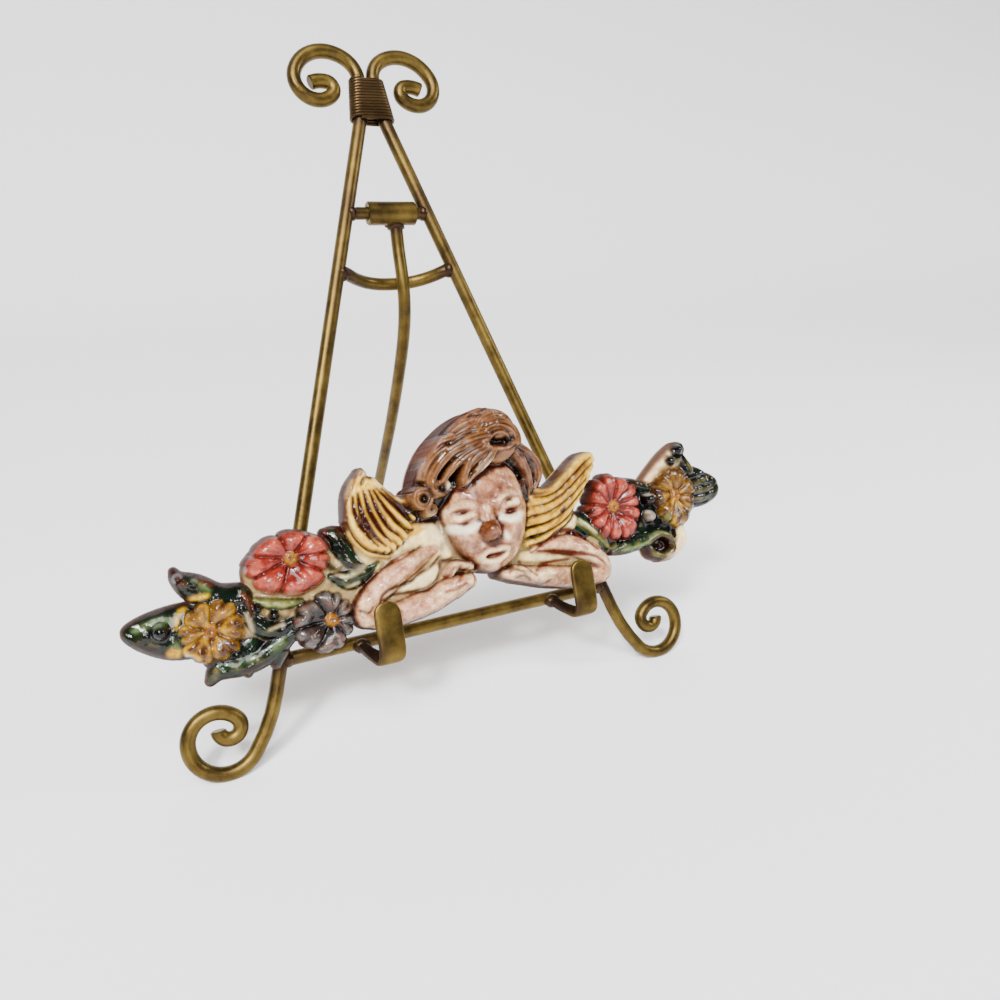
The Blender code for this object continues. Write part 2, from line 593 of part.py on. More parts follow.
def build():
    for obj in list(bpy.data.objects):
        bpy.data.objects.remove(obj, do_unlink=True)
    foot, shaft, top = side_rod_paths(18.0)
    for side, flip in (("right", 1.0), ("left", -1.0)):
        cut_floor(rod("foot_scroll_" + side, foot * (flip, 1.0, 1.0), ROD))
        rod("side_rod_" + side, shaft * (flip, 1.0, 1.0), ROD)
        rod("top_scroll_" + side, top * (flip, 1.0, 1.0), ROD)
    slack = (ROD + GAP) * math.hypot(1.0, TAPER)
    cuts = (lambda v: slack - half_width(v)), (lambda v: half_width(v) - slack)
    rod("lower_crossbar", [(-70.0, 0, 0), (70.0, 0, 0)], ROD, *cuts)
    rod("hinge_rod", [(-14.0, HINGE_V, 0), (14.0, HINGE_V, 0)], HINGE_ROD, *cuts)
    rod("stop_bow", bow_path(), BOW_ROD, *cuts)
    neck_wrap()
    hinge = world([(0.0, HINGE_V, 0.0)])[0]
    barrel(hinge)
    cut_floor(rod("rear_leg", rear_leg_path(), LEG_ROD, pivot=hinge))
    hook("hook_left", HOOK_LEFT)
    hook("hook_right", HOOK_RIGHT)
    plaque()


build()
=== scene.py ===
"""Glazed cherub plaque on a scrolled wire easel. Lengths are millimetres until they reach a mesh.

The easel's own plane has u to the right, v up its slope and w to the back. The plaque is a relief on
that plane: a height above its flat back at each (u, v).
"""
import math

import bpy
import numpy as np
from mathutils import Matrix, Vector

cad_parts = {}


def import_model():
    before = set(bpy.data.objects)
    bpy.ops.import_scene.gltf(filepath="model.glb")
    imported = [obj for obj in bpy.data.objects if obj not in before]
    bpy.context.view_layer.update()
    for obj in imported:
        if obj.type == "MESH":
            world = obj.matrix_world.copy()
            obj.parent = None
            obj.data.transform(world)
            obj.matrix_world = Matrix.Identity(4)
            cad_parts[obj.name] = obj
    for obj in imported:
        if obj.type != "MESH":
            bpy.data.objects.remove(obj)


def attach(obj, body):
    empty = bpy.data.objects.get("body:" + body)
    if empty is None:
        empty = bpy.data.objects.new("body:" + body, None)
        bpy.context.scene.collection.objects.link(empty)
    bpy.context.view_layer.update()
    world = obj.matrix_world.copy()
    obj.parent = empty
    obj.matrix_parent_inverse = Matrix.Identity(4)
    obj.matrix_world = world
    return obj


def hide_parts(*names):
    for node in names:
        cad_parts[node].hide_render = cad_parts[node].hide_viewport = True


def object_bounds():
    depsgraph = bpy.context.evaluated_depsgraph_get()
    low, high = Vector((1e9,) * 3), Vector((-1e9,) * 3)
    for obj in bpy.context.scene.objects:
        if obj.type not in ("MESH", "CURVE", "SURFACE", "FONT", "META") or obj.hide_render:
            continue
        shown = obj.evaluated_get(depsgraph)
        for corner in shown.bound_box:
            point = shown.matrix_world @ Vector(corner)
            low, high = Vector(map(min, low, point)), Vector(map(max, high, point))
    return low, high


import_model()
cad_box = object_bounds()

# Lean of the easel's plane, and where the row frame starts, seen from the middle of the crossbar
LEAN = math.radians(22.5)
ORIGIN = np.array((9.35, 73.25, -37.3))
# Rods: radius, gap at a joint, half the width at the crossbar, how fast the uprights close in
ROD = 3.0
ROD_GAP = 0.3
BAR_HALF = 76.0
TAPER = 0.3163
# Places up the slope and across it
BOW_V = 156.0
HINGE_V = 181.8
NECK_V = 222.0
WRAP_TOP = 241.4
NECK_U = 3.4
LEG_U = 3.5
# Relief: plane of its back, width of a grid cell, thickness and rounding at the outline
BACK_W = -3.3
STEP = 0.385
EDGE = 3.6
EDGE_ROUND = 1.8
OUTSIDE = -50.0


def world(points):
    """Easel millimetres to metres in the row frame."""
    u, v, w = np.asarray(points, float).T
    y = v * math.sin(LEAN) + w * math.cos(LEAN)
    z = v * math.cos(LEAN) - w * math.sin(LEAN)
    return (np.stack([u, y, z], axis=1) - ORIGIN) * 0.001


def inside_box(points):
    """Points in metres, none of them outside the box of the solids."""
    return np.clip(world(points), *np.array(cad_box))


def tone(red, green, blue):
    """Screen colour, 0 to 255, to the linear values that a shader takes."""
    screen = np.array((red, green, blue)) / 255.0
    return np.where(screen <= 0.04045, screen / 12.92, ((screen + 0.055) / 1.055) ** 2.4)


def smoothstep(low, high, value):
    share = np.clip((value - low) / (high - low), 0.0, 1.0)
    return share * share * (3.0 - 2.0 * share)


def dome(share):
    share = np.clip(share, 0.0, 1.0)
    return np.sqrt(np.clip(1.0 - (1.0 - share) ** 2, 0.0, 1.0))


def curve_through(path, parts=5):
    """Smooth curve through the points of a path, ends included."""
    path = np.asarray(path, float)
    if len(path) == 1:
        return np.repeat(path, 2, axis=0)
    if len(path) == 2:
        return path
    ends = np.vstack([2 * path[0] - path[1], path, 2 * path[-1] - path[-2]])
    points = []
    for a, b, c, d in zip(ends[:-3], ends[1:-2], ends[2:-1], ends[3:]):
        for t in np.arange(parts) / parts:
            square = (2 * a - 5 * b + 4 * c - d) * t ** 2
            cube = (3 * b - a - 3 * c + d) * t ** 3
            points.append(0.5 * (2 * b + (c - a) * t + square + cube))
    points.append(path[-1])
    return np.array(points)


# Glazes: body colour, colour on the ridges, wash in the hollows, strength of the wash, mottling
GLAZES = {
    "cream": (tone(246, 228, 176), tone(250, 240, 208), tone(84, 46, 22), 0.55, 0.2),
    "dark_leaf": (tone(38, 54, 36), tone(132, 124, 86), tone(12, 17, 10), 1.0, 1.0),
    "leaf": (tone(46, 74, 46), tone(146, 140, 98), tone(16, 22, 13), 1.0, 1.0),
    "pale_leaf": (tone(116, 126, 76), tone(192, 190, 138), tone(24, 32, 18), 1.0, 0.8),
    "knob": (tone(12, 14, 12), tone(20, 22, 18), tone(5, 5, 5), 0.8, 0.2),
    "coral": (tone(170, 84, 72), tone(198, 124, 108), tone(92, 34, 22), 0.5, 1.0),
    "ochre": (tone(200, 166, 60), tone(206, 172, 92), tone(96, 58, 24), 0.9, 0.9),
    "slate": (tone(78, 70, 66), tone(180, 170, 160), tone(24, 12, 10), 1.0, 1.0),
    "button": (tone(190, 140, 52), tone(222, 180, 92), tone(60, 28, 10), 1.0, 0.3),
    "wing": (tone(232, 196, 92), tone(244, 218, 136), tone(66, 28, 8), 1.0, 0.3),
    "right_wing": (tone(220, 186, 80), tone(236, 212, 120), tone(84, 44, 14), 1.0, 0.8),
    "rim": (tone(104, 56, 28), tone(154, 106, 64), tone(48, 22, 10), 0.8, 0.5),
    "skin": (tone(206, 168, 138), tone(244, 222, 190), tone(100, 54, 34), 1.0, 1.0),
    "hair": (tone(114, 80, 54), tone(176, 140, 104), tone(38, 18, 9), 1.0, 0.7),
    "hair_band": (tone(124, 88, 66), tone(176, 138, 110), tone(40, 18, 10), 0.95, 0.8),
}
GLAZE_NAMES = list(GLAZES)

# Paths of the relief, each point (u, v, radius, height)
SHAPES = (
    ("cream", ((-95, 20, 8, 7), (-84, 20, 10, 7.5), (-75, 20, 12, 7.5), (-60, 26, 14, 7.5),
     (-48, 30, 13, 7.5), (-42, 32, 11, 8))),
    ("rim", ((-52, 47.4, 2.4, 7), (-47.5, 45.4, 4.6, 7.5), (-43, 41, 5, 8))),
    ("cream", ((-42, 38, 7, 8), (-36, 31, 6, 8.5), (-30, 30, 6, 8.5))),
    ("cream", ((6, 58, 8, 10), (14, 62, 10, 10), (28, 57, 9, 10), (32, 36, 8, 10), (31, 28, 6, 9))),
    ("cream", ((-28, 36, 6, 9), (-14, 36, 12, 10), (-4, 38, 11, 11), (2, 26, 7, 11), (6, 24, 5, 11))),
    ("cream", ((42, 30, 5, 9), (58, 34, 6, 9))),
    ("cream", ((-75, 36, 11.6, 7.5), (-63, 38, 12.4, 7.5))),
    ("dark_leaf", ((125.6, 57, 2.8, 8.5), (128.4, 52, 3.4, 9), (130, 47.5, 3.8, 9))),
    ("cream", ((-34, 16, 5, 9), (-20, 20, 7, 9), (-6, 22, 7, 10), (3, 22, 6.5, 11))),
    ("leaf", ((-100, 8, 5, 6.5), (-86, 9, 6, 7))),
    ("cream", ((22, 22, 4, 10), (36, 22, 6, 9.5), (50, 20, 7, 9), (64, 17, 7, 8.5), (70, 22, 7, 8))),
    ("leaf", ((58, 28, 6, 8), (66, 30, 8, 8), (78, 29, 10, 8), (86, 32, 15, 7.5), (100, 30, 16, 7.5),
     (112, 30, 15, 7.5), (122, 37, 13, 7.5))),
    ("pale_leaf", ((70, 22, 5, 8), (80, 20, 5, 7.5))),
    ("rim", ((103, 13.5, 5, 6), (113, 14, 5, 6), (118, 20, 5, 6.5))),
    ("dark_leaf", ((-129, 24, 1.6, 5), (-126, 23, 4.6, 6.5), (-120, 21.7, 7.9, 8.5),
     (-112, 20.3, 10.6, 9), (-104, 20, 11, 9))),
    ("dark_leaf", ((-109.6, 42.8, 1.9, 6), (-108.2, 39.5, 3.4, 8.5), (-103, 35, 5.8, 9), (-96, 30, 6, 9),
     (-88, 29, 5.5, 8.5))),
    ("leaf", ((-103, -0.6, 2.3, 5), (-99, 3, 4.3, 7), (-91, 2.6, 4.4, 8), (-84, 4.2, 4.8, 8),
     (-76, 8, 4.6, 8.5), (-70, 12, 3.5, 8.5))),
    ("leaf", ((-89.3, -0.6, 2.2, 6), (-88, 2, 3, 7))),
    ("dark_leaf", ((-78.5, 0.3, 2.4, 6), (-76, 5, 3.4, 8))),
    ("pale_leaf", ((-83, 26.5, 1.8, 8.5), (-76, 23.5, 3.2, 9.5), (-66, 22.5, 2.4, 9))),
    ("dark_leaf", ((-88, 24, 3.2, 9), (-83, 17, 4.6, 9.5), (-76, 13.5, 4.2, 9.2), (-70, 16, 2.4, 9))),
    ("rim", ((-87, 29.5, 2, 9), (-85, 25, 2.4, 9.8), (-84.6, 21, 2, 9.6))),
    ("dark_leaf", ((-49.4, 46.5, 3.4, 8), (-46.2, 40, 5.6, 9), (-43.5, 34.6, 4.6, 9.5),
     (-39, 31.5, 2.2, 9))),
    ("leaf", ((-53, 30, 2.6, 8.5), (-46, 27.4, 5.4, 9.5), (-38, 29.6, 4, 9.5), (-33.5, 32, 1.8, 9))),
    ("pale_leaf", ((62, 33, 2, 9), (68, 29, 3.4, 9.8), (74, 23, 3.4, 9.5), (77, 18.5, 2, 8.5))),
    ("leaf", ((79.5, 15.5, 1.8, 7), (87, 17, 4.2, 8.5), (95, 18, 4.6, 9), (103, 18, 4.2, 9))),
    ("dark_leaf", ((90, 48, 2.5, 8), (97, 45.6, 3.2, 9), (103, 43, 3, 9))),
    ("cream", ((103.5, 45.5, 2.4, 7), (112, 49, 5.2, 8.5), (120, 53.5, 6.4, 9.5), (125.5, 58, 5, 9),
     (127.6, 60, 3.1, 8))),
    ("dark_leaf", ((124, 40, 12, 8.5), (132, 39.5, 11, 9), (137, 38, 9.3, 8.5), (142, 37.7, 7.4, 8),
     (144.8, 37.4, 3.9, 6.5))),
    ("cream", ((119.8, 20, 3.4, 8), (119.4, 14.6, 3.8, 8.5), (112.5, 9.6, 3.8, 8), (106, 8.4, 2.8, 7.5))),
    ("dark_leaf", ((99, 17, 3.2, 9.5), (105, 19.6, 2.8, 11.5), (110.6, 17, 2.8, 11.5),
     (111.4, 11.6, 2.8, 11), (107, 8.8, 2.6, 10), (101.6, 10.6, 2.6, 9), (100, 14, 2.4, 9))),
    ("slate", ((101.3, 29.4, 3.6, 13),)),
    ("wing", ((-34, 69, 3, 10), (-36.5, 60, 6.8, 10), (-35.5, 50, 8.6, 9.5), (-31, 42, 9, 9),
     (-18, 42, 10, 9.5), (-8, 44, 10, 10))),
    ("wing", ((-30.5, 64, 4, 10), (-26, 55, 5, 10), (-17, 51, 6.5, 10))),
    ("right_wing", ((38, 38, 9.5, 11), (50, 41.5, 9.3, 10.5), (60, 48.8, 8.3, 10), (69, 57.5, 6.6, 10),
     (72.6, 61.2, 3.9, 9))),
    ("rim", ((-33.8, 70.6, 1.3, 11), (-38.2, 66, 1.6, 12), (-42, 58.5, 1.7, 12), (-43.2, 51, 1.7, 11.5))),
    ("wing", ((-43.4, 51, 1.6, 11.5), (-41.8, 43.5, 1.7, 11), (-37, 37, 1.7, 11), (-29, 34, 1.6, 11))),
    ("skin", ((-9, 33.5, 4, 11), (-20, 29.6, 6, 12.8), (-31, 23.6, 6.4, 13.5), (-40, 16.4, 6.2, 13.5),
     (-42, 12.2, 5.5, 12.8))),
    ("skin", ((-41.5, 10.9, 5.3, 12.8), (-33, 9.4, 5.8, 13.4), (-22, 10.6, 6.3, 13.8),
     (-12, 12.4, 6.2, 14.5), (-4, 16, 6.6, 15.5))),
    ("skin", ((-2, 16.4, 6.8, 16.5), (3.4, 17.2, 4.6, 17))),
    ("skin", ((-5, 22.4, 2.6, 17), (-1, 25.2, 2.4, 18), (4, 23.4, 2.2, 18))),
    ("skin", ((36.5, 24.2, 2.4, 11), (45, 24.6, 4.4, 12.6), (54, 23.6, 5.4, 13.5), (63, 19.6, 5.8, 13.5),
     (70, 13.4, 5.8, 13), (71.2, 10, 5.8, 12.5))),
    ("skin", ((70.4, 8.2, 6, 12.5), (62, 8, 5.9, 13), (52, 9.4, 5.8, 13.6), (42, 11.5, 5.7, 14.2),
     (33, 13.8, 5, 15), (27, 15.6, 4.8, 16))),
    ("skin", ((24.5, 16.4, 4.6, 17), (19.5, 17, 2.9, 17))),
    ("hair_band", ((-10, 56.6, 6.6, 13.4), (-6, 63, 7.6, 16.2), (0, 70, 8.6, 20), (7.4, 76, 9, 23),
     (14, 78.4, 9.6, 24.4), (22, 79.4, 10, 24), (28, 76, 9.4, 21))),
    ("hair", ((-8, 52, 5, 14), (2, 58, 7, 18))),
    ("hair", ((34, 54, 6, 15), (36, 46, 6, 12))),
    ("hair_band", ((26, 73, 10.4, 22), (36.5, 64, 7.2, 17), (41.5, 61, 6.4, 13), (41.6, 55, 6, 12))),
)
# Buds and berries: u, v, radius, height
KNOBS = (
    (-117, 22, 4, 12.5), (-108.5, 40, 2.2, 11), (-103.5, 37, 2.4, 11), (-82.5, 23.5, 2.4, 11.5),
    (-77, 19.8, 2.5, 10.8), (69.8, 37, 2.2, 11.5), (102.3, 37.2, 4, 13), (118, 54, 3.2, 12.5),
    (124.6, 58.8, 3, 11.5),
)

# Broad locks of hair with fine lines along them, each point (u, v, radius, height)
LOCKS = (
    ("hair_band", ((26, 85, 2.6, 21.6), (17, 86.6, 2.8, 22.6), (9, 83.6, 3.4, 22), (1.6, 79, 3.4, 20.5),
     (-5.4, 72.8, 3.4, 18), (-10.4, 65.2, 3.4, 15.6), (-13.6, 58.2, 3, 13.4))),
    ("hair_band", ((18, 82, 3.2, 25.4), (10, 81.4, 3.4, 25.2), (3, 77.8, 3.4, 23.8),
     (-3.4, 71.6, 3.2, 21), (-8, 64.8, 3, 18.4), (-10.6, 58.6, 2.6, 15.6))),
    ("hair", ((16, 78.4, 3.2, 27), (9.6, 78.6, 3.2, 26.8), (3.4, 76, 2.8, 25.6), (-1.6, 72.6, 2.2, 23.8))),
    ("hair", ((13.6, 79, 3, 27), (17, 83, 3, 26), (23, 84.4, 3.2, 24.8), (28.6, 81.2, 3, 22.8),
     (31.2, 76, 2.6, 20.6))),
    ("hair_band", ((27, 75, 2.4, 24), (33.4, 70.6, 2.8, 20.2), (39.6, 66.4, 2.8, 16.8),
     (43.8, 61.8, 2.6, 14.4), (44, 56.6, 2.3, 13.2), (41.4, 51.4, 1.6, 12))),
    ("hair_band", ((28, 70.4, 1.8, 23.6), (33.4, 66, 2.4, 20), (37, 60.2, 2.4, 17.2),
     (38.6, 54.6, 2.2, 14.8), (37.8, 49.4, 1.5, 13))),
    ("hair_band", ((2, 77.8, 1.6, 26), (-3.2, 76.6, 1.9, 25), (-7, 73.2, 1.8, 23),
     (-8.2, 69.8, 1.5, 21.8), (-6.2, 68, 1.1, 21.8))),
    ("hair", ((-2, 73.8, 1.4, 25.4), (-6, 71.4, 1.5, 24), (-9.6, 67.4, 1.5, 21.6),
     (-11.6, 62.6, 1.3, 18.8))),
    ("hair", ((16, 75.6, 2.2, 28.4), (8.6, 75, 2.5, 28.2), (1.6, 72.4, 2.5, 27), (-4, 68.4, 2.4, 25),
     (-8.2, 63.2, 2.1, 22.6), (-9.4, 58.4, 1.7, 20.8), (-7.4, 54.8, 1.3, 20))),
    ("hair", ((16, 73.4, 2.4, 28.6), (9, 71.2, 2.7, 28.2), (2.8, 67.6, 2.4, 27), (-1.4, 63.8, 1.9, 24.8),
     (-3.8, 60.8, 1.3, 23))),
    ("hair", ((16.6, 72.4, 2.6, 28.6), (11.4, 69.6, 2.8, 28.2), (7.2, 66, 2.4, 27.4),
     (4.8, 61.8, 1.7, 26.2), (3.6, 57.8, 0.9, 25.2))),
    ("hair", ((18.6, 71.6, 2.2, 28.2), (16, 67.8, 2.4, 28), (12.2, 64.4, 2.1, 27.4), (8, 61, 1.4, 26.4),
     (4.4, 57.4, 0.8, 25.2))),
    ("hair_band", ((14.4, 73.6, 1.3, 28.8), (17, 71.2, 1.5, 28.8), (21, 70.2, 1.5, 28),
     (25.4, 70.4, 1.4, 26.6), (28.8, 72, 1.1, 24.8))),
)
# Lines in the hair: distance between them, rise, and the colours of their hollows and ridges
LINE_GAP = 1.6
LINE_RISE = 0.42
HAIR_DARK = tone(48, 20, 8)
HAIR_LIGHT = tone(204, 162, 112)
# How far the middle of a lock and of a feather stands above its sides
LOCK_RISE = 2.2
FEATHER_RISE = 3.0
BUTTON_RADIUS = 4.3

# Curls: centre, radii of the ring, thickness, height, first angle, sweep
CURLS = (
    ((21.4, 73.4), (4.4, 3.4), 1.3, 28, -10, 196),
    ((21.6, 73.6), (7, 6), 1.6, 27.4, -12, 200),
    ((21.8, 73.8), (9.4, 8.4), 1.7, 26, -14, 196),
    ((-5.6, 58.8), (3.2, 3.2), 1.7, 22.2, 130, 250),
    ((-12.8, 55), (3.2, 3.4), 1.9, 19.2, 10, 330),
    ((-9.8, 49.8), (1.4, 1.4), 1.8, 18.6, 80, 320),
    ((-16, 55.8), (1.6, 2.4), 2, 14.8, 60, 240),
)

# Fans of feathers: glaze, first, middle and last feather, how many
FANS = (
    (
        "wing",
        ((-38.4, 66.5, 1, 11.5), (-41.4, 58, 1.7, 12), (-41, 50, 2, 12), (-38.2, 42.5, 2, 11.5),
         (-34.4, 37.5, 1.4, 11)),
        ((-33.6, 67.4, 1, 11.5), (-33.4, 58, 1.7, 13), (-31.4, 50.4, 2.1, 13), (-28, 43.4, 2, 12.5),
         (-24.6, 37.6, 1.4, 11.5)),
        ((-30.2, 66, 1, 11), (-25.6, 59.8, 1.6, 12), (-21.8, 55.8, 1.8, 12), (-18.2, 51.8, 1.7, 11.5),
         (-15.4, 47.6, 1.2, 11)),
        8,
    ),
    (
        "right_wing",
        ((41, 49.8, 1.4, 12.5), (51, 50.2, 2, 12), (61, 56.6, 2.3, 12), (71.2, 62.6, 2.2, 11)),
        ((35.4, 40.8, 2, 14), (49, 41.8, 2.4, 13.5), (60, 47.2, 2.4, 12.5), (73, 57.5, 2, 11)),
        ((33.5, 27.6, 1.6, 12.5), (43, 28.6, 1.9, 12), (52.6, 33, 1.8, 11), (60.5, 39.8, 1.4, 10)),
        7,
    ),
)

# Flowers: glaze, centre, radii, button, petals, turn, heights of petals and button, split, ribs
FLOWERS = (
    ("ochre", (-99.6, 18.4), (12.4, 12.4), (-100.4, 18.8), 6, -4, 12.5, 12, 0.9, 0),
    ("coral", (-68.2, 38.6), (17.4, 13.4), (-67.4, 40.2), 7, 28, 13, 12.5, 0.2, 3),
    ("slate", (-58.8, 12.8), (14, 12.4), (-55.4, 13.2), 6, 30, 12, 12, 0.7, 0),
    ("coral", (82.6, 36.4), (15.2, 16.8), (81.8, 37), 12, 0, 12.5, 12.5, 0.1, 3),
    ("ochre", (117.8, 36.6), (13.2, 15), (118.2, 37), 7, 20, 12.5, 12, 0.6, 5),
)

# Face: centre, half width, reach down and up
FACE = ((15.6, 41.5), 20.8, 23.6, 31)
# Its height, how fast it narrows to the chin, and the powers that round it
FACE_HEIGHT = 24.0
CHIN_TAPER = 0.0105
ROUNDNESS = 2.5
FACE_OVAL = 2.3

# Soft bumps and dips, each point (u, v, radius, rise)
SWELLINGS = (
    ((11.2, 47.5, 3.2, 1.4), (11.6, 42, 4, 2.4)),
    ((3, 34.5, 9, 1.8),),
    ((24, 35, 8.5, 1.8),),
    ((-3.4, 47.4, 3, 1.2), (1.4, 49.4, 3.4, 2), (7.4, 48.4, 3, 1.4)),
    ((17, 48.6, 3, 1.4), (22, 51, 3.4, 2), (29, 50, 3.2, 1.4)),
    ((2, 44.6, 6, -3),),
    ((23.4, 45.8, 6, -3),),
    ((0, 43.8, 3.4, 2.6), (5, 44.2, 3.2, 2.6)),
    ((20.6, 46, 3.2, 2.4), (26.4, 46.8, 3.2, 2.4)),
    ((-2.6, 40, 2.4, 1.2), (2.6, 38.8, 2.6, 1.4), (7.6, 40.4, 2, 1)),
    ((18, 40.6, 2.2, 1), (23.6, 40.2, 2.6, 1.4), (28.4, 41.6, 2.2, 1)),
    ((7.6, 26.8, 1.8, 1.8), (10.4, 28.8, 1.9, 2.6), (14, 28.4, 1.6, 2.4), (17, 29, 1.9, 2.6),
     (19.8, 28.2, 1.8, 1.6)),
    ((7.8, 25.6, 1.8, 1.6), (10.8, 24, 2, 2.4), (15, 23.8, 2.1, 2.6), (18.8, 25.8, 1.8, 1.8)),
    ((14, 20.6, 4.6, 2.4),),
)

# Hollows in the curls and in the scroll leaf, cut after the locks of hair
DIPS = (
    ((18, 73, 2.4, -2.6), (24.6, 73, 2.4, -2.4)),
    ((105, 13.2, 2.2, -2.5),),
    ((-5, 58.2, 1.8, -1.4),),
    ((-12.6, 54.8, 1.9, -1.8),),
)
# The nose is a short tube on the face, its height counted from the base below
NOSE = ((11.9, 37.3, 4.9, 30), (12, 37.5, 4.9, 30))
NOSE_BASE = 20.5

# Colours of the brush
CREAM = tone(242, 226, 190)
WHITE = tone(250, 244, 224)
BROWN = tone(84, 36, 20)
RED_BROWN = tone(120, 42, 28)
BLACK = tone(14, 16, 14)
GREEN = tone(20, 52, 36)
PALE_GREEN = tone(150, 168, 122)
YELLOW = tone(230, 196, 40)
MAUVE = tone(140, 98, 92)
PINK = tone(206, 150, 136)

